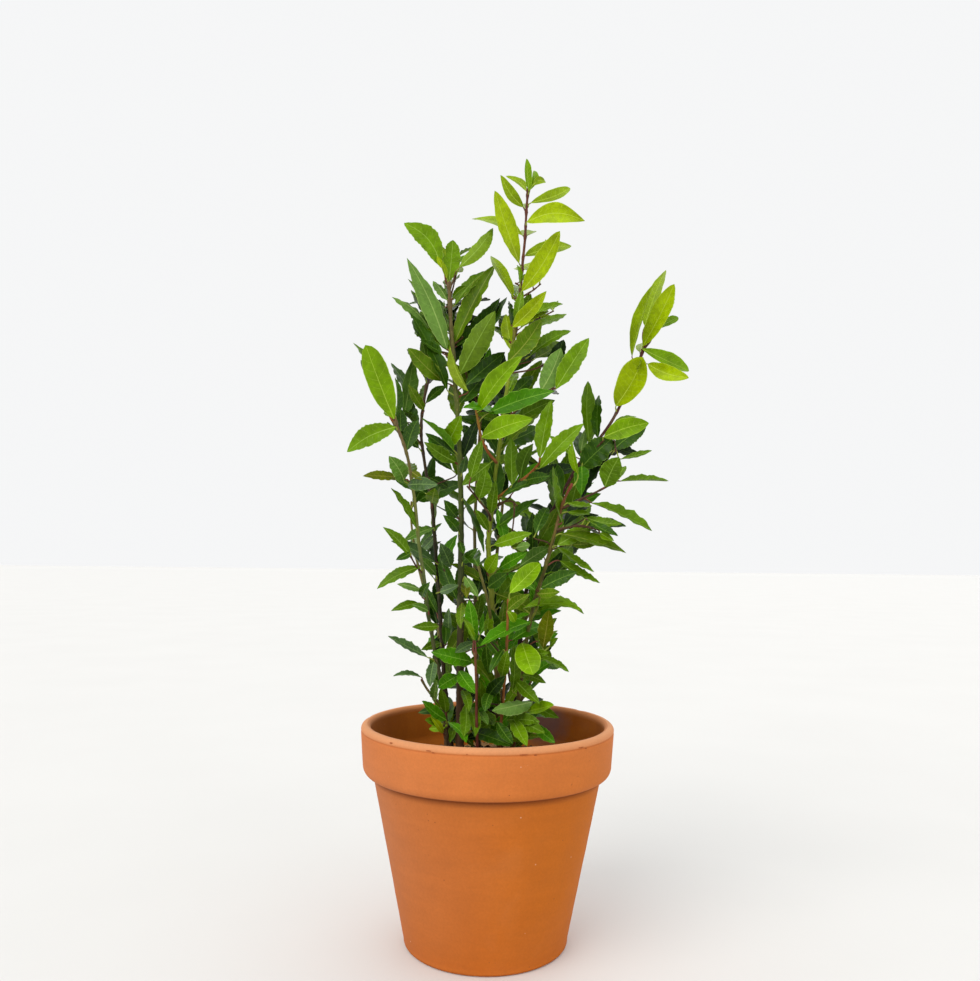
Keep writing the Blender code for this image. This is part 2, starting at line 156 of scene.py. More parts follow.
def scaled(colour, k):
    return tuple(min(1.0, c * k) for c in colour)


class Nodes:
    def __init__(self, name, roughness=0.5, gloss=0.35):
        self.mat = bpy.data.materials.new(name)
        self.mat.use_nodes = True
        self.t = self.mat.node_tree
        self.shader = self.t.nodes["Principled BSDF"]
        self.shader.inputs["Roughness"].default_value = roughness
        self.shader.inputs["Specular IOR Level"].default_value = gloss
        self.coord = self.t.nodes.new("ShaderNodeTexCoord")

    def link(self, a, b):
        self.t.links.new(a, b)

    def mapped(self, scale):
        m = self.t.nodes.new("ShaderNodeMapping")
        m.inputs["Scale"].default_value = scale if isinstance(scale, tuple) else (scale,) * 3
        self.link(self.coord.outputs["Object"], m.inputs["Vector"])
        return m.outputs["Vector"]

    def noise(self, scale, detail=4.0, rough=0.55, stretch=(1, 1, 1), distortion=0.0):
        n = self.t.nodes.new("ShaderNodeTexNoise")
        n.inputs["Scale"].default_value = scale
        n.inputs["Detail"].default_value = detail
        n.inputs["Roughness"].default_value = rough
        n.inputs["Distortion"].default_value = distortion
        self.link(self.mapped(tuple(float(s) for s in stretch)), n.inputs["Vector"])
        return n.outputs["Fac"]

    def voronoi(self, scale, feature="F1", output="Distance", stretch=(1, 1, 1), randomness=1.0):
        n = self.t.nodes.new("ShaderNodeTexVoronoi")
        n.feature = feature
        n.inputs["Scale"].default_value = scale
        n.inputs["Randomness"].default_value = randomness
        self.link(self.mapped(tuple(float(s) for s in stretch)), n.inputs["Vector"])
        return n.outputs[output]

    def ramp(self, fac, stops, interpolation="LINEAR"):
        r = self.t.nodes.new("ShaderNodeValToRGB")
        r.color_ramp.interpolation = interpolation
        while len(r.color_ramp.elements) < len(stops):
            r.color_ramp.elements.new(0.5)
        for e, (at, colour) in zip(r.color_ramp.elements, stops):
            e.position = at
            e.color = (*colour, 1.0) if isinstance(colour, tuple) else (colour, colour, colour, 1.0)
        self.link(fac, r.inputs["Fac"])
        return r.outputs["Color"]

    def mix(self, fac, a, b, blend="MIX"):
        m = self.t.nodes.new("ShaderNodeMix")
        m.data_type = "RGBA"
        m.blend_type = blend
        m.clamp_factor = True
        for socket, value in ((m.inputs["Factor"], fac), (m.inputs["A"], a), (m.inputs["B"], b)):
            if isinstance(value, bpy.types.NodeSocket):
                self.link(value, socket)
            elif isinstance(value, tuple):
                socket.default_value = (*value, 1.0)
            else:
                socket.default_value = value
        return m.outputs["Result"]

    def maths(self, operation, a, b=0.0, clamp=False):
        m = self.t.nodes.new("ShaderNodeMath")
        m.operation = operation
        m.use_clamp = clamp
        for socket, value in zip(m.inputs, (a, b)):
            if isinstance(value, bpy.types.NodeSocket):
                self.link(value, socket)
            else:
                socket.default_value = value
        return m.outputs[0]

    def height(self, low, high):
        """0 to 1 between two heights above the table."""
        s = self.t.nodes.new("ShaderNodeSeparateXYZ")
        self.link(self.coord.outputs["Object"], s.inputs[0])
        return self.maths("DIVIDE", self.maths("SUBTRACT", s.outputs["Z"], low), high - low, clamp=True)

    def spot(self, at, near, far, ragged):
        """1 at a place on the object, falling to 0 between two distances from it, with a ragged edge."""
        v = self.t.nodes.new("ShaderNodeVectorMath")
        v.operation = "DISTANCE"
        self.link(self.coord.outputs["Object"], v.inputs[0])
        v.inputs[1].default_value = at
        d = self.maths("ADD", v.outputs["Value"], self.maths("MULTIPLY", self.maths("SUBTRACT", ragged, 0.5), 0.03))
        return self.maths("DIVIDE", self.maths("SUBTRACT", far, d), far - near, clamp=True)

    def bump(self, height, strength, distance, normal=None):
        b = self.t.nodes.new("ShaderNodeBump")
        b.inputs["Strength"].default_value = strength
        b.inputs["Distance"].default_value = distance
        self.link(height, b.inputs["Height"])
        if normal is not None:
            self.link(normal, b.inputs["Normal"])
        return b.outputs["Normal"]

    def done(self, colour=None, roughness=None, normal=None):
        if colour is not None:
            self.link(colour, self.shader.inputs["Base Color"])
        if roughness is not None:
            self.link(roughness, self.shader.inputs["Roughness"])
        if normal is not None:
            self.link(normal, self.shader.inputs["Normal"])
        return self.mat


def leaf_material(name, colour, roughness, mottle, dark=0.72, light=1.22, gloss=0.14):
    n = Nodes(name, roughness, gloss)
    broad = n.noise(38.0, 3.0, 0.5)
    fine = n.noise(mottle, 5.0, 0.6)
    base = n.ramp(broad, [(0.30, scaled(colour, dark)), (0.52, colour), (0.74, scaled(colour, light))])
    speck = n.ramp(fine, [(0.38, 0.86), (0.62, 1.06)])
    base = n.mix(1.0, base, speck, "MULTIPLY")
    rough = n.maths("ADD", n.maths("MULTIPLY", fine, 0.18), roughness - 0.09)
    cell = n.voronoi(900.0)
    normal = n.bump(cell, 0.16, 0.0004, n.bump(fine, 0.22, 0.0008))
    return n.done(base, rough, normal)


# Tints of the leaves: upper face and underside.
TINTS = {
    # lime and yellow_green: the young leaves' own paler colour, made lighter still as painted light for the glow
    # through backlit blades
    "lime": (srgb(156, 180, 2), srgb(164, 186, 38)),
    "yellow_green": (srgb(130, 156, 4), srgb(144, 168, 36)),
    "vivid": (srgb(116, 156, 2), srgb(128, 164, 16)),
    "fresh": (srgb(70, 128, 2), srgb(84, 132, 12)),
    "bright": (srgb(106, 144, 5), srgb(116, 146, 24)),
    "mid": (srgb(83, 117, 4), srgb(92, 120, 16)),
    "dark": (srgb(48, 84, 3), srgb(66, 96, 12)),
    # deep: near-black green for leaves inside and behind the crown, painted shade
    "deep": (srgb(20, 44, 1), srgb(38, 60, 8)),
    "olive": (srgb(83, 113, 3), srgb(98, 126, 15)),
    # blue: green leaves with a grey-blue cast that stands for sky sheen on their gloss, painted reflection on top of
    # the higher gloss
    "blue": (srgb(68, 98, 46), srgb(94, 122, 68)),
    "pale": (srgb(88, 126, 42), srgb(102, 138, 56)),
    "brown": (srgb(93, 104, 4), srgb(108, 118, 26)),
}
VEINS = {
    "lime": srgb(184, 204, 62), "yellow_green": srgb(170, 194, 60), "vivid": srgb(160, 192, 56), "fresh": srgb(126, 176, 52), "bright": srgb(146, 178, 66), "mid": srgb(128, 160, 56),
    "dark": srgb(102, 136, 46), "deep": srgb(66, 92, 30), "olive": srgb(136, 148, 52), "blue": srgb(126, 156, 88),
    "pale": srgb(146, 174, 90), "brown": srgb(142, 138, 50),
}
LEAF_MATERIALS = {}
for key, (upper, under) in TINTS.items():
    LEAF_MATERIALS[key] = (
        leaf_material("leaf_" + key + "_upper", upper, 0.38, 210.0, gloss={"blue": 0.32, "dark": 0.17}.get(key, 0.10)),
        leaf_material("leaf_" + key + "_under", under, 0.58, 260.0, 0.84, 1.12),
        leaf_material("leaf_" + key + "_vein", VEINS[key], 0.46, 300.0, 0.9, 1.08),
    )


# =============================================================================== limbs
SOIL_LEVEL = 0.186
GAP = 0.0004
STEMS = {
    "stem_main": (((-0.030, -0.010), (-0.031, -0.009, 0.260), (-0.032, -0.006, 0.413), (-0.034, -0.002, 0.504),
                   (-0.040, 0.004, 0.597), (-0.048, 0.010, 0.691), (-0.051, 0.013, 0.741)), 0.0046, 0.0019),
    "stem_left": (((-0.044, -0.020), (-0.048, -0.024, 0.261), (-0.061, -0.030, 0.326), (-0.076, -0.040, 0.426),
                   (-0.088, -0.050, 0.516), (-0.105, -0.060, 0.566)), 0.0025, 0.0016),
    "stem_left_inner": (((-0.040, 0.010), (-0.048, 0.012, 0.262), (-0.059, 0.017, 0.384), (-0.068, 0.022, 0.479),
                         (-0.082, 0.026, 0.560), (-0.077, 0.030, 0.622)), 0.0026, 0.0016),
    "stem_centre": (((0.015, 0.000), (0.010, 0.000, 0.296), (0.000, 0.000, 0.405), (0.000, 0.000, 0.448),
                     (0.011, -0.003, 0.551), (0.025, -0.006, 0.662), (0.034, -0.006, 0.740),
                     (0.041, -0.004, 0.848)), 0.0036, 0.0013),
    "stem_right": (((0.029, 0.026), (0.039, 0.030, 0.344), (0.059, 0.032, 0.441), (0.078, 0.033, 0.479),
                    (0.107, 0.034, 0.531), (0.147, 0.037, 0.584), (0.181, 0.041, 0.662),
                    (0.186, 0.043, 0.682)), 0.0031, 0.0015),
    "stem_right_front": (((0.026, -0.012), (0.044, -0.020, 0.336), (0.063, -0.028, 0.412), (0.080, -0.036, 0.475),
                          (0.090, -0.040, 0.498)), 0.0028, 0.0015),
    "stem_back": (((-0.010, 0.024), (-0.014, 0.048, 0.320), (-0.018, 0.068, 0.450), (-0.014, 0.078, 0.560),
                   (-0.012, 0.082, 0.640)), 0.0028, 0.0015),
    "shoot_front": (((-0.010, -0.044), (-0.012, -0.050, 0.262), (-0.014, -0.056, 0.318)), 0.0018, 0.0013),
    "shoot_right": (((0.012, -0.030), (0.019, -0.040, 0.300), (0.021, -0.052, 0.372)), 0.0018, 0.0013),
}
# Boughs run from a stem to the mass that they carry, and on into it.
BOUGHS = {
    "bough_back_left": ("stem_left_inner", 0.325, ((-0.080, 0.060, 0.385), (-0.096, 0.082, 0.450), (-0.098, 0.092, 0.490)), 0.0021, 0.0011),
    "bough_back_centre": ("stem_centre", 0.375, ((0.012, 0.045, 0.450), (0.024, 0.082, 0.560), (0.026, 0.094, 0.612)), 0.0022, 0.0011),
    "bough_back_right": ("stem_right", 0.330, ((0.066, 0.072, 0.400), (0.086, 0.096, 0.470), (0.088, 0.102, 0.512)), 0.0021, 0.0011),
    "bough_back_low": ("stem_right", 0.240, ((0.024, 0.064, 0.285), (0.012, 0.090, 0.330), (0.004, 0.096, 0.366)), 0.0019, 0.0010),
    "bough_front": ("stem_centre", 0.320, ((-0.002, -0.042, 0.372), (-0.016, -0.070, 0.425), (-0.022, -0.082, 0.468)), 0.0019, 0.0010),
    "bough_left_foot": ("stem_left", 0.250, ((-0.066, -0.026, 0.272), (-0.078, -0.020, 0.292), (-0.084, -0.016, 0.308)), 0.0016, 0.0009),
    "bough_right_foot": ("stem_right_front", 0.252, ((0.040, -0.026, 0.268), (0.050, -0.028, 0.290), (0.056, -0.024, 0.314)), 0.0016, 0.0009),
}


def smooth_route(stations, count):
    """Evenly spaced points on the smooth curve through the stations."""
    pts = [np.array(p, float) for p in stations]
    ends = [pts[0] * 2 - pts[1]] + pts + [pts[-1] * 2 - pts[-2]]
    fine = []
    for i in range(1, len(ends) - 2):
        p0, p1, p2, p3 = ends[i - 1 : i + 3]
        for k in range(24):
            t = k / 24
            fine.append(0.5 * ((2 * p1) + (p2 - p0) * t + (2 * p0 - 5 * p1 + 4 * p2 - p3) * t * t + (3 * p1 - p0 - 3 * p2 + p3) * t ** 3))
    fine.append(pts[-1])
    fine = np.array(fine)
    run = np.concatenate([[0.0], np.cumsum(np.linalg.norm(np.diff(fine, axis=0), axis=1))])
    want = np.linspace(0.0, run[-1], count)
    return np.stack([np.interp(want, run, fine[:, k]) for k in range(3)], -1)


class Limb:
    """A limb's centre line and radii, with what is asked of it when shoots and leaves grow on it."""

    def __init__(self, name, route, radii, tint=None):
        self.name, self.route, self.radii, self.tint = name, np.array(route), np.array(radii), tint
        self.run = np.concatenate([[0.0], np.cumsum(np.linalg.norm(np.diff(self.route, axis=0), axis=1))])
        self.nodes = []

    @property
    def length(self):
        return self.run[-1]

    def at(self, s):
        s = min(max(s, 0.0), self.length)
        p = np.array([np.interp(s, self.run, self.route[:, k]) for k in range(3)])
        i = min(max(int(np.searchsorted(self.run, s)), 1), len(self.run) - 1)
        d = self.route[i] - self.route[i - 1]
        return p, d / np.linalg.norm(d), float(np.interp(s, self.run, self.radii))

    def nearest_pixel(self, px, py):
        """Where along the limb the camera sees it closest to a pixel."""
        fine = np.linspace(0.0, self.length, 160)
        pts = np.stack([np.interp(fine, self.run, self.route[:, k]) for k in range(3)], -1)
        d = np.linalg.norm(pixel_of(pts) - np.array([px, py]), axis=1)
        i = int(np.argmin(d))
        return fine[i], d[i]

    def nearest(self, point):
        fine = np.linspace(0.0, self.length, 160)
        pts = np.stack([np.interp(fine, self.run, self.route[:, k]) for k in range(3)], -1)
        d = np.linalg.norm(pts - point, axis=1)
        i = int(np.argmin(d))
        return fine[i], d[i]


LIMBS = {}
FLARE, FLARE_LENGTH = 1.55, 0.022
for name, (stations, foot_radius, tip_radius) in STEMS.items():
    foot = np.array((*stations[0], SOIL_LEVEL + GAP))
    above = foot + np.array([0.0, 0.0, FLARE_LENGTH * 0.45])
    route = np.vstack([[foot], smooth_route([above] + list(stations[1:]), 90)])
    share = (route[:, 2] - foot[2]) / (route[-1, 2] - foot[2])
    flare = (FLARE - 1.0) * np.exp(-2.6 * (route[:, 2] - foot[2]) / FLARE_LENGTH)
    LIMBS[name] = Limb(name, route, (foot_radius + (tip_radius - foot_radius) * share ** 0.85) * (1.0 + flare))
for name, (carrier, height, stations, fork_radius, tip_radius) in BOUGHS.items():
    host = LIMBS[carrier]
    i = int(np.argmin(np.abs(host.route[:, 2] - height)))
    route = smooth_route([host.route[i]] + list(stations), 40)
    LIMBS[name] = Limb(name, route, np.linspace(fork_radius, tip_radius, len(route)))
MAIN_LIMBS = list(LIMBS)

MASSES = {name: tuple(np.array(c, float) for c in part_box(name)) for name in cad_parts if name.startswith("foliage_")}


def mass_at(point, grow=0.0):
    """The foliage mass whose ellipsoid holds a point most deeply, and how far out in it the point is."""
    best, best_r = None, 9.0
    for name, (lo, hi) in MASSES.items():
        half = (hi - lo) / 2 + grow
        r = float(np.linalg.norm((point - (lo + hi) / 2) / half))
        if r < best_r:
            best, best_r = name, r
    return best, best_r


# =============================================================================== leaves
rng = random.Random(20417)
LEAVES = {key: Gather() for key in TINTS}
PETIOLES = {"green": Gather(), "red": Gather()}
LEAF_COUNT = 0
MIDPOINTS = []


def unit(v):
    return v / max(np.linalg.norm(v), 1e-12)


def tube(gather, pts, radii, sides=6, material=0, caps=True):
    pts = np.asarray(pts, float)
    radii = np.broadcast_to(np.asarray(radii, float), (len(pts),))
    tangents = np.gradient(pts, axis=0)
    tangents /= np.linalg.norm(tangents, axis=1)[:, None]
    side = unit(np.cross(tangents[0], [0.31, 0.74, 0.59]))
    rings = []
    for p, t, r in zip(pts, tangents, radii):
        side = unit(side - t * side.dot(t))
        up = np.cross(t, side)
        a = np.linspace(0, math.tau, sides, endpoint=False)
        rings.append(p + r * (np.cos(a)[:, None] * side + np.sin(a)[:, None] * up))
    verts = np.concatenate(rings)
    quads = grid_quads(len(pts), sides, wrap=True)
    n = len(verts)
    if caps:
        verts = np.vstack([verts, pts[0], pts[-1] + tangents[-1] * radii[-1] * 0.6])
        c = np.arange(sides)
        first = np.stack([(c + 1) % sides, c, np.full(sides, n), np.full(sides, n)], -1)
        last = np.stack([(len(pts) - 1) * sides + c, (len(pts) - 1) * sides + (c + 1) % sides, np.full(sides, n + 1), np.full(sides, n + 1)], -1)
        quads = np.vstack([quads, first, last])
    gather.add(verts, quads, material)


def leaf(base, tip, normal, width, tint, bow=0.06, fold=16.0, wave=1.0, twist=0.0, hook=0.0, blunt=0.0, curl=0.0, sway=None, fine=True):
    """One bay leaf: a lance-shaped blade with waved margins, an upper face, an underside, a raised
    pale midrib on both and fine side veins.  normal is the way the upper face looks."""
    global LEAF_COUNT
    LEAF_COUNT += 1
    out = LEAVES[tint]
    chord = tip - base
    length = float(np.linalg.norm(chord))
    d = chord / length
    side0 = unit(np.cross(d, normal))
    up0 = np.cross(side0, d)
    rows, cols = (25, 7) if fine else (21, 5)
    t = np.linspace(0.0, 1.0, rows)
    s = np.array([-1.0, -0.95, -0.52, 0.0, 0.52, 0.95, 1.0]) if fine else np.linspace(-1.0, 1.0, cols)
    phase = rng.random() * 6.28, rng.random() * 6.28
    waves = rng.uniform(3.4, 5.6)
    lean = rng.uniform(-0.035, 0.035) if sway is None else sway
    notch_at = np.linspace(0.0, 1.0, 25)
    notches = np.array([[(0.040 if k % 2 else -0.040) + rng.uniform(-0.024, 0.024) for k in range(25)] for _ in range(2)])
    a, b = 0.80 + rng.uniform(-0.07, 0.07), 0.94 - blunt * 0.45 + rng.uniform(-0.07, 0.07)
    peak = a / (a + b)
    norm = peak ** a * (1 - peak) ** b

    def surface(t, s, lift=0.0, thick=0.0):
        t = np.asarray(t, float)
        s = np.asarray(s, float)
        half = width / 2 * (np.clip(t, 0, 1) ** a * np.clip(1 - t, 0, 1) ** b / norm) * (1.0 - 0.03 * np.sin(11.0 * t + phase[1]) * np.abs(s))
        margin = np.where(s > 0, np.interp(t, notch_at, notches[0]), np.interp(t, notch_at, notches[1]))
        half = half * (1.0 + wave * margin * np.abs(s) ** 3 + 0.04 * wave * np.sin(math.tau * waves * t + np.where(s > 0, phase[1], phase[0])) * s * s)
        half = np.maximum(half, 0.0004 * (1 - t) + 0.00008)
        angle = twist * (t - 0.4)
        sd = np.cos(angle)[..., None] * side0 + np.sin(angle)[..., None] * up0
        nn = -np.sin(angle)[..., None] * side0 + np.cos(angle)[..., None] * up0
        mid = base + d * (length * t)[..., None] + up0 * (length * (bow * 4 * t * (1 - t) + hook * t ** 3 * (1 - t) * 4))[..., None]
        mid = mid + side0 * (length * lean * np.sin(math.pi * t))[..., None]
        f = math.radians(fold)
        across = half * s * math.cos(f)
        rise = np.abs(s) * half * math.sin(f) - curl * half * s * s
        envelope = np.sin(math.pi * np.clip(t, 0, 1)) ** 0.6
        ruffle = wave * 0.0013 * (width / 0.024) * np.abs(s) ** 2.2 * envelope * np.sin(math.tau * waves * t + np.where(s > 0, phase[0], phase[1]))
        thickness = thick * (1 - 0.94 * s * s) * 0.5
        return mid + sd * across[..., None] + nn * (rise + ruffle + lift + thickness)[..., None]

    T, S = np.meshgrid(t, s, indexing="ij")
    upper = surface(T, S, 0.0, 0.0005).reshape(-1, 3)
    under = surface(T, S, 0.0, -0.0005).reshape(-1, 3)
    if fine:
        # the blade, and its thin pale rim as narrow strips of the veins' colour
        for skin, flip, material in ((upper, True, 0), (under, False, 1)):
            lattice = skin.reshape(rows, cols, 3)
            out.add(lattice[:, 1:-1].reshape(-1, 3), grid_quads(rows, cols - 2, flip=flip), material)
            out.add(lattice[:, :2].reshape(-1, 3), grid_quads(rows, 2, flip=flip), 2)
            out.add(lattice[:, -2:].reshape(-1, 3), grid_quads(rows, 2, flip=flip), 2)
    else:
        out.add(upper, grid_quads(rows, cols, flip=True), 0)
        out.add(under, grid_quads(rows, cols), 1)
    # the midrib: a fine pale ridge above, a stouter one below
    tm = np.linspace(0.0, 0.965, 12)
    for high, w0, w1, crest, material in ((1, 0.00062, 0.00022, 0.00012, 2), (-1, 0.00085, 0.00028, 0.00042, 2)):
        w = (w0 + (w1 - w0) * tm) * (0.6 + 0.4 * min(width / 0.022, 1.3))
        half = np.maximum(width / 2 * (tm ** a * (1 - tm) ** b / norm), 0.0004)
        share = np.minimum(w / half, 0.6)
        skin = 0.00024 * high
        left = surface(tm, -share, skin, 0.0)
        right = surface(tm, share, skin, 0.0)
        top = surface(tm, np.zeros_like(tm), skin + crest * high, 0.0)
        ribs = np.stack([left, top, right], 1).reshape(-1, 3)
        out.add(ribs, grid_quads(12, 3, flip=high > 0), material)
    # side veins
    if width > 0.011:
        count = 7
        for high in (1, -1) if fine else (1,):
            for which in (-1, 1):
                for k in range(count):
                    t0 = 0.08 + 0.80 * (k + 0.25 * (which > 0)) / count
                    u = np.array([0.05, 0.45, 0.90])
                    tv = t0 + 0.13 * u ** 1.25
                    sv = which * u
                    half = np.maximum(width / 2 * (np.clip(tv, 0, 1) ** a * np.clip(1 - tv, 0, 1) ** b / norm), 0.0004)
                    w = 0.00017 * (1 - 0.5 * u) / length
                    lift = 0.00026 * (1 - 0.55 * u ** 2) * high
                    p = np.stack([surface(tv - w, sv, lift), surface(tv + w, sv, lift)], 1).reshape(-1, 3)
                    out.add(p, grid_quads(3, 2, flip=(which > 0) == (high > 0)), 2)
    MIDPOINTS.append(base + chord * 0.5)
    return surface(np.array([0.0]), np.array([0.0]))[0], unit(surface(np.array([0.06]), np.array([0.0]))[0] - surface(np.array([0.0]), np.array([0.0]))[0])


def petiole(start, start_way, end, end_way, radius, colour="green"):
    """The leaf stalk, from the limb's bark to the foot of the blade."""
    gap = float(np.linalg.norm(end - start))
    t = np.linspace(0.0, 1.0, 6)[:, None]
    p1 = start + start_way * gap * 0.4
    p2 = end - end_way * gap * 0.35
    pts = (1 - t) ** 3 * start + 3 * (1 - t) ** 2 * t * p1 + 3 * (1 - t) * t * t * p2 + t ** 3 * end
    tube(PETIOLES[colour], pts, np.linspace(radius * 1.25, radius * 0.8, 6), 5)


# =============================================================================== shoots
TWIG_GATHER = {"brown": Gather(), "orange": Gather(), "green": Gather()}
LEADING = []
TWIGS = {
    # side shoots seen in front: carrier, pixel route from the fork, depth at the tip, radii, bark
    "twig_h": ("stem_centre", ((495, 465), (488, 452), (481, 436), (476, 410)), -0.030, 0.0019, 0.0013, "orange"),
    "twig_i": ("stem_centre", ((493, 502), (499, 497), (511, 488), (526, 477), (539, 464), (540, 458)), -0.036, 0.0019, 0.0013, "orange"),
    "twig_j": ("stem_centre", ((490, 522), (489, 514), (478, 499), (467, 486)), -0.026, 0.0014, 0.0009, "brown"),
    "twig_k": ("stem_centre", ((492, 512), (499, 504), (511, 501), (517, 506)), -0.024, 0.0013, 0.0008, "brown"),
    "twig_l": ("stem_left_inner", ((438, 560), (445, 571), (455, 583)), 0.004, 0.0014, 0.0008, "brown"),
    "twig_m": ("stem_right_front", ((568, 512), (584, 498), (604, 488), (618, 480)), -0.052, 0.0015, 0.0009, "brown"),
    "twig_n": ("stem_right_front", ((563, 532), (580, 526), (600, 530)), -0.058, 0.0014, 0.0009, "brown"),
    "twig_o": ("stem_right", ((580, 466), (592, 452), (604, 440)), 0.012, 0.0015, 0.0009, "brown"),
    "twig_p": ("stem_left", ((424, 574), (416, 566), (410, 555)), -0.050, 0.0013, 0.0008, "brown"),
    "twig_q": ("stem_right_front", ((530, 622), (538, 606), (541, 590)), -0.044, 0.0014, 0.0009, "green"),
    "twig_r": ("stem_right", ((606, 428), (614, 440), (616, 452)), 0.006, 0.0012, 0.0008, "brown"),
    "twig_s": ("stem_centre", ((502, 425), (520, 408), (541, 394), (556, 388)), -0.012, 0.0016, 0.0009, "brown"),
}
for name, (carrier, route_px, tip_y, r0, r1, bark) in TWIGS.items():
    host = LIMBS[carrier]
    s, _ = host.nearest_pixel(*route_px[0])
    start = host.at(s)[0]
    pts = [start]
    for k, (px, py) in enumerate(route_px[1:], 1):
        pts.append(at_pixel(px, py, start[1] + (tip_y - start[1]) * (k / (len(route_px) - 1)) ** 0.9))
    route = smooth_route(pts, 24)
    LIMBS[name] = Limb(name, route, np.linspace(r0, r1, 24), bark)
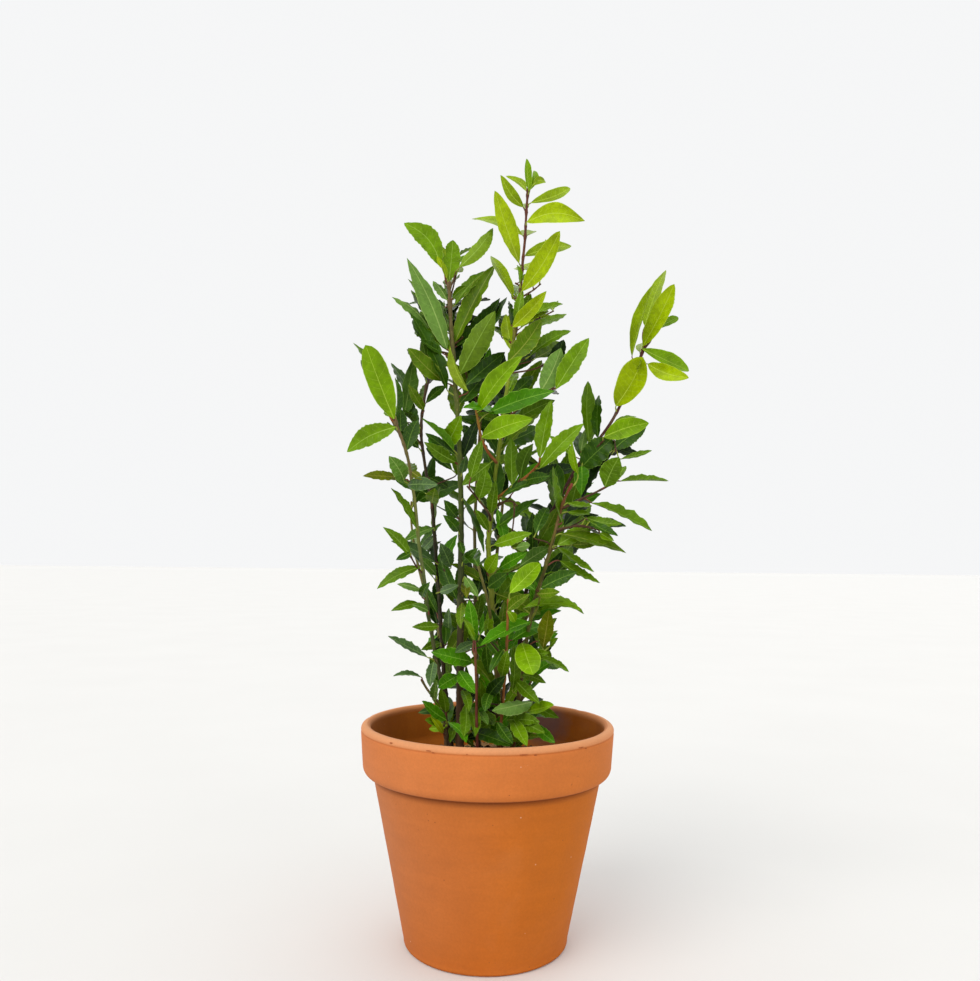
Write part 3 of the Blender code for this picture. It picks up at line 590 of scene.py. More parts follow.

# The leading leaves: limb, blade foot, blade tip and seen width in pixels, tint, face seen (T upper,
# U underside) and how far the tip stands behind (+) or before (-) its foot, in millimetres.
# Those given the deep tint are near-black leaves put in dark gaps where only shade shows: painted shade.
LEADING_LEAVES = """
main 441 266 404 223 23 bright T -8 0.2 0.13
main 449 281 453 240 19 bright T 4 0.5
main 460 267 493 228 15 bright U 6 0.2 -0.08
main 442 268 437 256 6 lime T -2
main 447 279 442 261 5 yellow_green T -2
main 453 298 467 286 8 mid T -8 0.5
main 447 349 407 258 20 pale U -20 0.1 -0.03
left_inner 452 470 426 448 11 dark T 4
main 444 340 408 279 10 mid T 12
main 440 330 411 290 9 mid T 20
main 431 332 392 297 9 pale U -10 0.1 -0.07
main 447 390 410 313 13 dark T -6
main 447 300 433 281 9 pale U 8
main 442 353 420 340 8 dark T -14
main 442 381 408 348 18 olive T -22
main 468 391 450 346 10 yellow_green U -14
main 455 305 485 271 10 mid T 10
main 455 343 495 265 18 olive T 6
main 457 346 500 298 15 dark T 24
main 460 374 495 311 26 mid U -10
main 462 373 507 297 15 dark T 30
main 466 385 505 352 17 dark T 20
centre 529 192 526.5 158.6 8 vivid T -2 0.5 -0.06
centre 530 190 535 171 8 vivid T -4 0.8
centre 532 186 545 181 9 yellow_green T -6 0.9 -0.12
centre 523 207 500.5 175 12 yellow_green T -6 0.3 -0.08
centre 526 191 506 176 7 yellow_green T 6 0.4 0.16
centre 531 203 570 188 12 yellow_green T -4 0.7 0.09
centre 527 222 585 221 21 lime T -13 0.1 -0.12
centre 519 263 494.7 190.6 17 lime T -13 0.25 -0.05
centre 522 235 472 219 9 yellow_green T 10
centre 522 291 560 231 22 lime T -13 0.6 0.04
centre 525 256 571.5 246 13 yellow_green T 12
centre 513 297 490.7 256 10 yellow_green T 6 0.2 -0.09
centre 513 327 546.5 291 17 lime T -13 0.2
centre 520 283 517 265 5 bright T -4
centre 511 325 509 301 6 dark T 6
centre 519 318 563 304 8 bright T 8 0.7
centre 536 326 566.6 314 8 bright T 14
centre 508 362 541.6 319 22 olive T -10
centre 530 356 571 331 11 mid T 8
twig_s 556 389 589 338 22 bright T -6
twig_s 541 391 561 348 24 pale U -10
twig_h 479 411 522.4 356 21 vivid T -13 0.3
centre 509 395 518 373 11 bright T 14
twig_h 489 413 555 391 19 fresh T -16
centre 512 372 536 352 16 dark T 22
centre 504 402 533 376 16 dark T 20
left 394 419 365.4 345 26 vivid T -13 0.7 -0.01
left 384 400 353.4 343 8 mid T 6
left_inner 404 415 413 359 16 pale T 14
left_inner 418 402 391 363 12 blue T 18
left_inner 426 380 407 349 9 mid T 14
left_inner 424 410 408 384 10 olive T -6
left_inner 426 403 446 386 10 dark T 4
left 395 427 347 452 22 bright T -12 0.2 0.08
left 407 450 418 420 16 dark T 8
left 402 440 401 409 14 dark T 16
twig_h 482 437 533 418.6 22 vivid T -13 0.3
twig_i 512 485 511 438 17 mid T -2
twig_i 540 458 551.5 400 16 bright T 8
twig_i 540 468 583.7 423.5 19 bright T -6
twig_i 527 480 550 476 12 dark T -10
twig_i 502 497 549 480.6 10 dark T -16
centre 495 529 538.6 499 10 dark T -12
centre 488 530 475 509 10 mid T -8
centre 491 513 496 480 12 mid T -12
twig_j 479 498 486 468.6 17 mid T -4
twig_j 471 477 482 440 13 mid T -2
main 455 462 424 442 13 mid T -20
main 444 448 461 415 18 bright T -14
main 462 473 466 455 9 blue T -10
centre 494 545 532 533 13 bright T -14
twig_k 516 548 530 545 9 pale U -10
centre 500 568 528 552 13 fresh T -18
centre 520 566 550 547 15 pale T 8
right_front 536 533 548 507 14 dark T 8
centre 528 534 524 512 9 blue T 12
right 616 406 643 357 30 lime T -14 0.85 0.03
right 632 356 654 284 10 yellow_green T -4 0.3 -0.02
right 645 326 666 270 13 yellow_green T 2 0.2
right 643 346 674.4 284 19 lime T -13 0.5 0.0
right 656 329 678 317 9 bright T 4 0.9
right 642 349 689 371 16 vivid T -9 0.4 0.03
right 648 364 689 378 17 lime T -14 0.5 0.07
twig_o 604 437 649 423 20 vivid T -8 0.2 -0.05
right 613 450 646 427 18 dark T 6
right 581 468 613 438 26 dark T -14
right 589 441 588 381 14 mid T 10 0.2 0.0
right 598 438 599 395 11 dark T 16 0.3 0.03
right 581 451 586 428 9 pale U 4
right_front 578 474 572.5 442 8 vivid T -8
twig_r 621 459 652 450.5 5 mid T 0
twig_m 621 481 668.5 481 5 mid T 4
twig_m 605 487 619 457 22 mid T -8
twig_m 612 482 626 466 9 mid T 8
twig_m 592 503 652 531 9 mid T -12
right_front 568 503 592 506 6 mid T -12
right_front 568 512 590 514 6 mid T -8
twig_n 587 518 622 524 10 mid T -6
twig_n 582 528 626 526 10 dark T 4
twig_n 590 522 618 536 8 dark T -12
right_front 562 534 626 553 11 olive T -16
twig_n 600 533 614 541 8 bright T 0
right_front 572 545 600 543 10 olive T -4
right_front 556 546 594 572 6 mid T -12
right_front 560 561 600 583 9 mid T -14 0.1 0.0
right_front 562 522 553 466 6 mid T -6
left 404 481 389 456 17 pale T -10
left 400 478 363 476 9 brown T -14
left 408 485 438 485 14 blue T -12
left_inner 430 478 448 488 11 dark T 6
left_inner 432 503 435 488 14 olive T -8
left 412 472 423 480 8 brown T 0
left 416 528 391 488 7 mid T -6
main 457 517 444 500 13 dark T -12
main 458 531 443 515 11 dark T -14
left_inner 434 528 403 542 10 pale T -14
left_inner 436 535 422 550 10 blue T 8
twig_p 410 556 383 527 11 mid T -8
twig_p 410 553 396 560 8 dark T -2
twig_l 451 567 440 543 14 blue T -10
left_inner 436 575 418 556 10 pale T -12
main 460 542 464 554 7 dark T -6
main 463 562 478 548 10 dark T -8
centre 487 572 498 553 15 vivid T -14
main 463 499 484 553 5 dark T -12
left 420 567 377 589 11 mid T -8
left 421 590 397 584 7 pale U -2
left 422 597 430 582 10 dark T -10
left 418 603 391 611 9 mid T -8
left 428 611 412 605 8 pale T -6
twig_l 440 592 459 585 9 blue T -8
left 438 626 412 627 10 mid T -8
left_inner 445 622 445 645 9 dark T -6
left_inner 451 640 449 608 9 blue T -4
main 462 603 461 629 9 olive T -12
shoot_front 475 640 469 600 13 fresh T -3
shoot_front 474 640 464 620 6 bright T -6
main 465 583 467 598 10 brown T -12
main 465 577 478 597 9 pale U -8
main 478 595 480 566 13 deep T 6
centre 488 587 507 573 14 dark T -10
left 427 657 388 636 8 blue T -6
left_inner 440 643 421 650 9 mid T -6
main 472 662 431 652 18 fresh T -18 0.3
main 458 676 438 688 14 fresh T -14 0.7
main 459 671 476 694 14 fresh T -16 0.2
left 434 662 430 687 11 blue T -12
bough_left_foot 421 677 393 676 5 blue T -3
left 434 700 437 680 9 pale T -10
left 446 712 441 688 10 mid T -12
main 474 643 455 653 10 blue T -10
shoot_right 510 593 540 563 21 vivid T -6 0.4
shoot_right 508 610 530 594 12 olive T -2
shoot_right 508 611 515 622 9 vivid T -8
twig_q 541 588 577 572 16 dark T -8
twig_q 537 594 560 592 10 olive T -8
right_front 524 608 582 611 11 bright T -22 0.2 -0.06
right_front 551 596 584 614 5 mid T -6
right_front 543 648 549 610 16 brown T -10
bough_right_foot 550 646 558 638 6 mid T -6
right_front 522 643 533 675 24 vivid T -22 0.9
right_front 530 655 549 653 10 mid T -10
right 536 660 559 668 10 dark T 6
right_front 534 657 569 672 6 mid T -6
shoot_right 502 676 508 650 12 mid T -8
right_front 522 675 546 683 10 mid T -10
right_front 516 681 540 704 13 mid T -16 0.1
shoot_right 487 698 506 676 13 deep T -8
main 476 710 480 680 10 mid T -12
centre 506 652 511 630 16 fresh T 4
right_front 512 690 513 645 12 mid T -6
right_front 538 642 550 662 10 mid T 4
centre 488 640 500 656 9 dark T -8
shoot_right 486 645 489 674 10 dark T 4
shoot_right 491 692 485 712 11 dark T -8
main 479 712 488 725 9 pale T -16
shoot_front 473 640 463 617 7 mid T -4
main 480 635 488 608 10 fresh T 2
right_front 531 622 480 646 13 fresh T -34 0.1
shoot_right 503 650 490 673 8 dark T -6
left 446 720 422 701 11 fresh T -12 0.3
left 440 708 418 713 8 blue T 0
left 442 722 425 720 9 bright T -10
left 443 733 430 716 7 lime T -10
left 447 725 429 729 8 vivid T -6
left 448 722 466 743 9 fresh T -16 0.1 -0.08
left_inner 454 726 450 743 9 bright T -8
main 466 705 464 737 13 mid T -22
main 470 706 475 737 12 mid T -28
main 462 690 469 712 10 mid T -14
centre 484 710 494 726 11 mid T -16
right_front 532 702 492 711 15 pale U -34
right_front 526 712 554 705 11 vivid T -24 0.3
right 532 704 559 718 10 mid T -8
right_front 512 713 545 733 15 mid T -20 0.2
right_front 532 724 555 743 11 fresh T -8 0.2
right_front 508 720 540 722 13 mid T -10
right_front 513 720 527 746 14 bright T -26 0.2
main 472 732 512 746 14 dark T -30 0.2
shoot_right 497 722 513 744 11 dark T -10
main 487 638 489 608 10 bright T -6
centre 496 642 484 604 17 dark T -12
centre 519 270 531 262 8 lime T 46
centre 523 236 533 231 8 yellow_green T 44
centre 526 210 520 204 6 yellow_green T 34
centre 516 296 526 288 8 bright T 46
right 640 352 647 342 8 yellow_green T 40
right 626 384 621 376 8 yellow_green T 44
right 634 366 640 362 7 yellow_green T -40
main 449 287 456 279 8 mid T 42
main 450 301 445 292 8 mid T 46
main 450 312 458 306 8 dark T 46
left 393 418 399 408 8 bright T 40
left 386 402 380 394 7 yellow_green T 38
left 398 432 392 426 7 mid T 44
"""


def sit_on(host, s, way, radius):
    """A point on the limb's bark on the side that way points to."""
    p, d, r = host.at(s)
    out = way - d * way.dot(d)
    out = unit(out) if np.linalg.norm(out) > 1e-6 else unit(np.cross(d, [0.3, 0.5, 0.8]))
    return p + out * (r * 0.75), unit(out * 0.8 + d * 0.9)


def side_twig(host, s, end, end_way, bark, r=0.0008):
    """A short side twig out of a limb to a leaf that stands well off it."""
    p, d, hr = host.at(s)
    way = unit(end - p)
    start, out = sit_on(host, s, way, hr)
    gap = float(np.linalg.norm(end - start))
    t = np.linspace(0, 1, 9)[:, None]
    p1, p2 = start + out * gap * 0.35, end - end_way * gap * 0.3
    pts = (1 - t) ** 3 * start + 3 * (1 - t) ** 2 * t * p1 + 3 * (1 - t) * t * t * p2 + t ** 3 * end
    tube(TWIG_GATHER[bark], pts, np.linspace(r * 1.35, r * 0.8, 9), 6)


def attach(host, blade_foot, blade_way, mass_tint, s_hint=None):
    """Joins a blade to its limb by a petiole, through a short twig where it stands far off."""
    s, gap = host.nearest(blade_foot)
    at_end = s > host.length - 0.004
    s = max(0.0, s - (min(gap * 0.3, 0.006) if at_end else max(0.004, min(gap * 0.6, 0.009 if gap < 0.02 else 0.022))))
    young = mass_tint in ("lime", "yellow_green", "vivid")
    if gap > 0.016:
        knee = blade_foot - blade_way * 0.006
        side_twig(host, s, knee, blade_way, "orange" if young else "brown")
        petiole(knee - blade_way * 0.001, blade_way, blade_foot, blade_way, 0.0008, "green")
    else:
        start, out = sit_on(host, s, unit(blade_foot - host.at(s)[0]), 0.0)
        petiole(start, out, blade_foot, blade_way, 0.0008, "red" if rng.random() < 0.45 else "green")
    host.nodes.append(s)


CAMERA_AT = np.array([0.0, CAMERA_Y, CAMERA_Z])
WIDTH_SHARE = 0.31
for line in LEADING_LEAVES.strip().splitlines():
    word = line.split()
    key = word[0]
    host = LIMBS.get(key) or LIMBS.get("stem_" + key) or LIMBS[key]
    bx, by, tx, ty, w = (float(v) for v in word[1:6])
    tint, face, dy = word[6], word[7], float(word[8]) / 1000.0
    s, off = host.nearest_pixel(bx, by)
    p, d, r = host.at(s)
    foot = at_pixel(bx, by, p[1] + (r + 0.002) * (1 if dy > 0 else -1) * min(1.0, 6.0 / max(off, 1.0)))
    scale = (foot[1] - CAMERA_Y) / FOCAL_PX
    seen = math.hypot(tx - bx, ty - by) * scale
    young = tint in ("lime", "yellow_green", "vivid")
    wanted = seen * 1.13 if young else max(seen, min(0.058, 0.024 + 0.5 * seen))
    if young and abs(dy) < 0.0125 and rng.random() < 0.4:
        dy = abs(dy)
    depth = math.copysign(math.sqrt(max(wanted ** 2 - seen ** 2, 0.0)), dy if dy else -1)
    extra = [float(v) for v in word[9:]]
    dy_tip = dy * 1.15 + depth * 0.62
    tip = at_pixel(tx, ty, foot[1] + dy_tip)
    blade = tip - foot
    length = float(np.linalg.norm(blade))
    way = blade / length
    width_seen = w * scale
    width = max(width_seen * 1.03, min(length * WIDTH_SHARE, 0.026), 0.0042)
    if tint == "lime" and length < 0.05:
        width = max(width_seen, length * 0.26)
    roll = math.acos(min(1.0, width_seen / width))
    roll *= 0.92 * (1 if rng.random() < 0.5 else -1)
    view = unit(CAMERA_AT - foot)
    n0 = unit(view - way * view.dot(way))
    if roll and n0[2] * 0 == 0:
        # turn the edge-on leaves so that their upper face looks up where they lie flat
        lift = np.cross(way, n0)
        if abs(lift[2]) > 0.25:
            roll = math.copysign(roll, lift[2])
    n = math.cos(roll) * n0 + math.sin(roll) * np.cross(way, n0)
    upper = n if face == "T" else -n
    droop = rng.uniform(0.01, 0.075) if length > 0.03 else 0.03
    leaf(foot, tip, upper, width, tint, bow=droop * (1 if face == "T" else -1) * (1 if rng.random() < 0.8 else -1),
         fold=rng.uniform(12, 30), wave=(rng.uniform(0.1, 0.35) if young else rng.uniform(0.6, 1.2)) * min(1.0, length / 0.04),
         twist=rng.uniform(-0.3, 0.3), blunt=extra[0] if extra else rng.uniform(0.0, 0.22), sway=extra[1] if len(extra) > 1 else None)
    attach(host, foot, way, tint)
    LEADING.append((foot, tip, w / 2, upper, width * math.cos(roll)))
FRONT_COUNT = LEAF_COUNT

# =============================================================================== the hidden and further foliage


def in_window(points, slack=0.0):
    px = pixel_of(points)
    d = np.linalg.norm(px[:, None, :] - WINDOW_ARRAY[None, :, :2], axis=2)
    return bool((d < WINDOW_ARRAY[None, :, 2] - slack).any())


SPRAY_TINTS = {
    "foliage_tip_main": ("bright", "mid", "yellow_green"), "foliage_tip_centre": ("lime", "yellow_green"),
    "foliage_centre_high": ("yellow_green", "bright", "lime"), "foliage_right_tip": ("lime", "yellow_green"),
    "foliage_centre_upper": ("mid", "bright", "dark"), "foliage_main_upper": ("mid", "dark", "olive"),
    "foliage_left_top": ("bright", "mid", "blue"), "foliage_right_upper": ("mid", "dark", "bright"),
}
# the low and back masses lean to darker tints, deep among them: painted shade low in the crown
LOW_TINTS = ("mid", "dark", "olive", "dark", "deep", "fresh", "mid", "blue")


def free_of_others(mid, need):
    if not MIDPOINTS:
        return True
    return float(np.min(np.linalg.norm(np.array(MIDPOINTS[-2000:]) - mid, axis=1))) > need


def inside_box(point, slack=0.004):
    return all(CAD_BOX[0][k] - slack <= point[k] <= CAD_BOX[1][k] + slack for k in range(3))


# Windows of open sky in the crown, seen from the front: pixel centre and radius.
WINDOWS = (
    (346, 404, 28), (372, 506, 25), (382, 675, 34), (388, 328, 25), (395, 612, 21), (400, 517, 13), (395, 585, 13),
    (420, 638, 9), (420, 691, 9), (438, 411, 12), (444, 470, 9), (428, 265, 10), (475, 537, 10), (497, 247, 11),
    (466, 233, 12), (544, 494, 9), (537, 232, 9), (566, 324, 9), (567, 413, 13), (574, 279, 26), (577, 382, 9),
    (569, 594, 8), (573, 624, 14), (577, 648, 18), (577, 686, 20), (582, 238, 14), (589, 596, 16), (600, 371, 17),
    (601, 311, 32), (606, 563, 13), (610, 502, 9), (626, 543, 11), (636, 498, 21), (636, 472, 10), (652, 447, 13),
    (657, 403, 21), (685, 334, 26), (482, 206, 13), (449, 210, 24), (639, 275, 14), (607, 348, 20), (376, 540, 10),
    (436, 392, 8), (445, 425, 7), (449, 534, 8), (522, 496, 5), (518, 525, 7), (469, 545, 6), (470, 508, 5), (532, 317, 5),
    (427, 512, 6), (505, 512, 5), (499, 345, 6), (418, 381, 6), (467, 495, 5), (470, 519, 6), (478, 532, 6), (479, 548, 5),
    (505, 551, 6), (418, 462, 6), (552, 478, 5), (446, 590, 5), (447, 606, 5), (453, 694, 4),
)
WINDOW_ARRAY = np.array(WINDOWS, float)

# The crown's outline as the front is seen, in pixels, and the stems that show between its leaves.
OUTLINE = (
    (411, 300), (470, 296), (500, 300), (530, 292), (546, 300), (558, 318), (542, 330), (561, 342), (583, 356), (575, 372),
    (560, 386), (555, 400), (553, 420), (556, 436), (576, 428), (600, 432), (640, 428), (636, 452), (622, 468), (619, 482),
    (600, 494), (592, 510), (618, 524), (611, 538), (579, 552), (591, 566), (568, 580), (559, 594), (572, 608), (556, 622),
    (558, 636), (552, 650), (560, 664), (542, 678), (538, 692), (556, 706), (545, 720), (545, 735), (530, 746), (445, 744),
    (436, 724), (424, 706), (432, 692), (424, 678), (428, 664), (416, 650), (433, 636), (420, 622), (428, 608), (418, 594),
    (432, 580), (414, 566), (400, 552), (418, 538), (432, 524), (432, 510), (412, 496), (388, 482), (400, 468), (421, 454),
    (402, 440), (386, 428), (386, 412), (378, 398), (380, 384), (402, 372), (406, 356), (420, 342), (416, 328), (410, 314),
)
STEMS_IN_SIGHT = {
    "stem_main": (300, 740), "stem_left": (410, 640), "stem_left_inner": (380, 690), "stem_centre": (440, 575), "stem_right": (395, 470),
    "stem_right_front": (480, 600), "shoot_front": (640, 735), "shoot_right": (590, 640), "twig_h": (405, 460), "twig_i": (455, 500),
    "twig_j": (486, 520), "twig_m": (485, 515), "twig_s": (385, 425),
}
CELL = 3.0
GRID = np.zeros((330, 330), bool)


def cells_of(px):
    c = np.clip((px / CELL).astype(int), 0, 329)
    return c[:, 1] * 330 + c[:, 0]


def inside_outline(x, y):
    hit = np.zeros(np.shape(x), bool)
    for (x0, y0), (x1, y1) in zip(OUTLINE, OUTLINE[1:] + OUTLINE[:1]):
        crosses = (np.array(y0 > y) != (y1 > y)) & (x < (x1 - x0) * (y - y0) / ((y1 - y0) or 1e-9) + x0)
        hit ^= crosses
    return hit


grid_y, grid_x = np.meshgrid((np.arange(330) + 0.5) * CELL, (np.arange(330) + 0.5) * CELL, indexing="ij")
CROWN = inside_outline(grid_x, grid_y)
for wx, wy, wr in WINDOWS:
    CROWN &= (grid_x - wx) ** 2 + (grid_y - wy) ** 2 > wr ** 2
CROWN = CROWN.reshape(-1)
COVERED = GRID.reshape(-1).copy()
IN_FRONT = np.full(330 * 330, 9.0)


NEED_FRONT = np.full(330 * 330, 9.0)
for name in list(STEMS) + list(TWIGS):
    limb = LIMBS[name]
    top, low = STEMS_IN_SIGHT.get(name, (0, 0))
    dense = np.array([limb.at(v)[0] for v in np.linspace(0.0, limb.length, 160)])
    px = pixel_of(dense)
    keep = ~((px[:, 1] > top) & (px[:, 1] < low)) & (px[:, 1] > 300)
    cells = cells_of(px[keep])
    NEED_FRONT[cells] = np.minimum(NEED_FRONT[cells], dense[keep, 1])


def blade_cells(foot, tip, normal, width):
    """The cells of the front view that a blade covers, and its depth in each."""
    way = tip - foot
    side = unit(np.cross(way, normal))
    t = np.linspace(0.02, 0.99, 24)
    half = width / 2 * np.sin(math.pi * t) ** 0.8
    s = np.linspace(-1, 1, 7)
    pts = foot + way * t[:, None, None] + side * (half[:, None] * s)[..., None]
    pts = pts.reshape(-1, 3)
    cells, first = np.unique(cells_of(pixel_of(pts)), return_index=True)
    return cells, pts[first, 1]


def take(foot, tip, normal, width):
    low = pixel_of((foot + tip) / 2)[0, 1] > 560
    cells, y = blade_cells(foot, tip, normal, width * (0.55 if low else 0.92))
    COVERED[cells[y < NEED_FRONT[cells]]] = True
    IN_FRONT[cells] = np.minimum(IN_FRONT[cells], y)


for foot, tip, _, normal, width in LEADING:
    take(foot, tip, normal, width)
STEM_CELLS = np.full(330 * 330, 9.0)
for name, (top, low) in STEMS_IN_SIGHT.items():
    limb = LIMBS[name]
    dense = np.array([limb.at(v)[0] for v in np.linspace(0.0, limb.length, 160)])
    px = pixel_of(dense)
    keep = (px[:, 1] > top) & (px[:, 1] < low)
    cells = cells_of(px[keep])
    STEM_CELLS[cells] = np.minimum(STEM_CELLS[cells], dense[keep, 1])
    COVERED[cells] = True


def room_for(foot, tip, length):
    mid = (foot + tip) / 2
    if tip[2] < 0.196 or not inside_box(tip) or not inside_box(mid):
        return False
    for q in (mid, tip):
        if q[2] < 0.245 and math.hypot(q[0], q[1]) > 0.118:
            return False
    mass, how_far = mass_at(mid)
    return mass is not None and how_far < 1.35


def tint_at(px, py, behind):
    if py < 345 and px > 500:
        return rng.choice(("bright", "yellow_green", "mid"))
    # leaves standing behind get the darker tints, deep most often: painted shade inside the crown
    if behind:
        return rng.choice(("dark", "deep", "mid", "dark", "deep", "olive") if py < 560 else ("dark", "deep", "fresh", "deep", "mid", "deep"))
    if px < 452 and py > 440:
        return rng.choice(("blue", "mid", "dark", "mid", "olive"))
    if py > 560:
        return rng.choice(("fresh", "mid", "bright", "dark", "olive", "mid", "fresh"))
    return rng.choice(("mid", "bright", "fresh", "mid", "dark", "olive"))


CARRIERS = [LIMBS[name] for name in list(STEMS) + list(BOUGHS) + list(TWIGS)]
CARRIER_PX = [pixel_of(limb.route) for limb in CARRIERS]
cover_count, misses = 0, 0
print("crown covered by the leading leaves", round(float(COVERED[CROWN].mean()), 3))
while cover_count < 420 and misses < 40:
    open_cells = np.flatnonzero(CROWN & ~COVERED)
    if len(open_cells) < 40:
        break
    best = None
    for _ in range(48):
        cell = open_cells[rng.randrange(len(open_cells))]
        px, py = (cell % 330 + 0.5) * CELL, (cell // 330 + 0.5) * CELL
        near = [(k, float(np.min(np.hypot(route[:, 0] - px, route[:, 1] - py)))) for k, route in enumerate(CARRIER_PX)]
        near = [k for k, gap in near if gap < 40]
        if not near:
            continue
        host = CARRIERS[rng.choice(near)]
        s, _ = host.nearest_pixel(px, py)
        s = max(0.006, s - rng.uniform(0.0, 0.034))
        p, d, r = host.at(s)
        if p[2] < 0.19:
            continue
        aim = at_pixel(px + rng.uniform(-4, 4), py + rng.uniform(-4, 4), p[1] + rng.uniform(-0.036, 0.040))
        if np.linalg.norm(aim - p) < 0.008:
            continue
        way = unit(unit(aim - p) + np.array([0.0, 0.0, 0.12]))
        length = rng.uniform(0.030, 0.056) if py > 570 else rng.uniform(0.040, 0.070)
        foot = p + way * (r + rng.uniform(0.004, 0.009))
        tip = foot + way * length
        if not room_for(foot, tip, length):
            continue
        n = unit(np.array([rng.gauss(0, 0.35), -rng.uniform(0.1, 1.1), rng.uniform(0.3, 1.0)]))
        n = unit(n - way * way.dot(n))
        width = length * rng.uniform(0.29, 0.38)
        cells, y = blade_cells(foot, tip, n, width)
        if len(cells) < 8:
            continue
        gain = float((CROWN[cells] & ~COVERED[cells] & (y < NEED_FRONT[cells])).sum())
        outside = float((~CROWN[cells] & ~COVERED[cells]).sum())
        hides = float((IN_FRONT[cells] > y).sum() - (IN_FRONT[cells] > 8.0).sum())
        stems = float((STEM_CELLS[cells] < 8.0).sum() and (y < STEM_CELLS[cells] + 0.002)[STEM_CELLS[cells] < 8.0].sum())
        score = gain - 2.0 * outside - 0.8 * hides - 3.0 * stems
        if best is None or score > best[0]:
            if free_of_others((foot + tip) / 2, 0.008):
                best = (score, host, s, foot, tip, n, width, way, y.mean() > p[1] + 0.004, px, py, length)
    if best is None or best[0] < 2.2:
        misses += 1
        continue
    misses = 0
    _, host, s, foot, tip, n, width, way, behind, px, py, length = best
    leaf(foot, tip, n, width, tint_at(px, py, behind), bow=rng.uniform(-0.01, 0.06), fold=rng.uniform(12, 30),
         wave=rng.uniform(0.6, 1.15), twist=rng.uniform(-0.35, 0.35), blunt=rng.uniform(0.0, 0.25))
    take(foot, tip, n, width)
    start, way0 = sit_on(host, s, way, 0.0)
    petiole(start, way0, foot, way, 0.0008, "red" if rng.random() < 0.35 else "green")
    host.nodes.append(s)
    LEADING.append((foot, tip, width / 2 / 0.00114 * 0.6, n, width))
    cover_count += 1
print("leaves added in front", cover_count, "crown covered", round(float(COVERED[CROWN].mean()), 3))

# leaves on short twigs further in, where sky would still show through the thick of the crown
filled, misses = 0, 0
while filled < 150 and misses < 16:
    open_cells = np.flatnonzero(CROWN & ~COVERED)
    if len(open_cells) < 60:
        break
    best = None
    for _ in range(44):
        cell = open_cells[rng.randrange(len(open_cells))]
        px, py = (cell % 330 + 0.5) * CELL, (cell // 330 + 0.5) * CELL
        near = [k for k, route in enumerate(CARRIER_PX) if float(np.min(np.hypot(route[:, 0] - px, route[:, 1] - py))) < 50]
        if not near:
            continue
        host = CARRIERS[rng.choice(near)]
        s, _ = host.nearest_pixel(px, py)
        p = host.at(max(0.006, s - rng.uniform(0.004, 0.03)))[0]
        aim = at_pixel(px + rng.uniform(-4, 4), py + rng.uniform(-4, 4), p[1] + rng.uniform(0.002, 0.045))
        way = unit(unit(aim - p) * 0.9 + np.array([rng.gauss(0, 0.35), rng.gauss(0, 0.25), rng.uniform(0.0, 0.6)]))
        length = rng.uniform(0.032, 0.056) if py > 570 else rng.uniform(0.040, 0.066)
        foot = aim - way * length * rng.uniform(0.35, 0.6)
        tip = foot + way * length
        gap = host.nearest(foot)[1]
        if gap > 0.042 or gap < 0.004 or foot[2] < 0.2 or not room_for(foot, tip, length):
            continue
        n = unit(np.array([rng.gauss(0, 0.35), -rng.uniform(0.3, 1.1), rng.uniform(0.2, 0.9)]))
        n = unit(n - way * way.dot(n))
        width = length * rng.uniform(0.30, 0.38)
        cells, y = blade_cells(foot, tip, n, width)
        gain = float((CROWN[cells] & ~COVERED[cells] & (y < NEED_FRONT[cells])).sum())
        outside = float((~CROWN[cells] & ~COVERED[cells]).sum())
        hides = float((IN_FRONT[cells] > y).sum() - (IN_FRONT[cells] > 8.0).sum())
        stems = float((y < STEM_CELLS[cells] + 0.002)[STEM_CELLS[cells] < 8.0].sum())
        score = gain - 2.0 * outside - 1.4 * hides - 3.0 * stems
        if (best is None or score > best[0]) and free_of_others((foot + tip) / 2, 0.008):
            best = (score, host, foot, tip, n, width, way, px, py)
    if best is None or best[0] < 3.0:
        misses += 1
        continue
    misses = 0
    _, host, foot, tip, n, width, way, px, py = best
    # these leaves further in take darker tints, deep among them: painted shade inside the crown
    tint = rng.choice(("dark", "mid", "deep", "dark", "mid", "fresh" if py > 560 else "olive"))
    leaf(foot, tip, n, width, tint, bow=rng.uniform(-0.01, 0.06), fold=rng.uniform(12, 30),
         wave=rng.uniform(0.6, 1.15), twist=rng.uniform(-0.35, 0.35), blunt=rng.uniform(0.0, 0.25))
    take(foot, tip, n, width)
    attach(host, foot, way, tint)
    LEADING.append((foot, tip, width / 2 / 0.00114 * 0.6, n, width))
    filled += 1
print("leaves added further in", filled, "crown covered", round(float(COVERED[CROWN].mean()), 3))

SHOWN = []
for foot, tip, half_px, _, _ in LEADING:
    along = foot + (tip - foot) * np.linspace(0.08, 0.96, 7)[:, None]
    for (px, py), q in zip(pixel_of(along), along):
        SHOWN.append((px, py, half_px + 1.5, q[1]))
for name in list(STEMS) + list(TWIGS):
    for q in LIMBS[name].route[::2]:
        if q[2] > 0.21:
            px, py = pixel_of(q)[0]
            SHOWN.append((px, py, 5.0, q[1]))
SHOWN = np.array(SHOWN)


def covers_front(points):
    """True where a leaf would stand before a leading leaf or a stem as the front is seen."""
    px = pixel_of(points)
    d = np.linalg.norm(px[:, None, :] - SHOWN[None, :, :2], axis=2)
    return bool(((d < SHOWN[None, :, 2]) & (points[:, 1][:, None] < SHOWN[None, :, 3] + 0.004)).any())


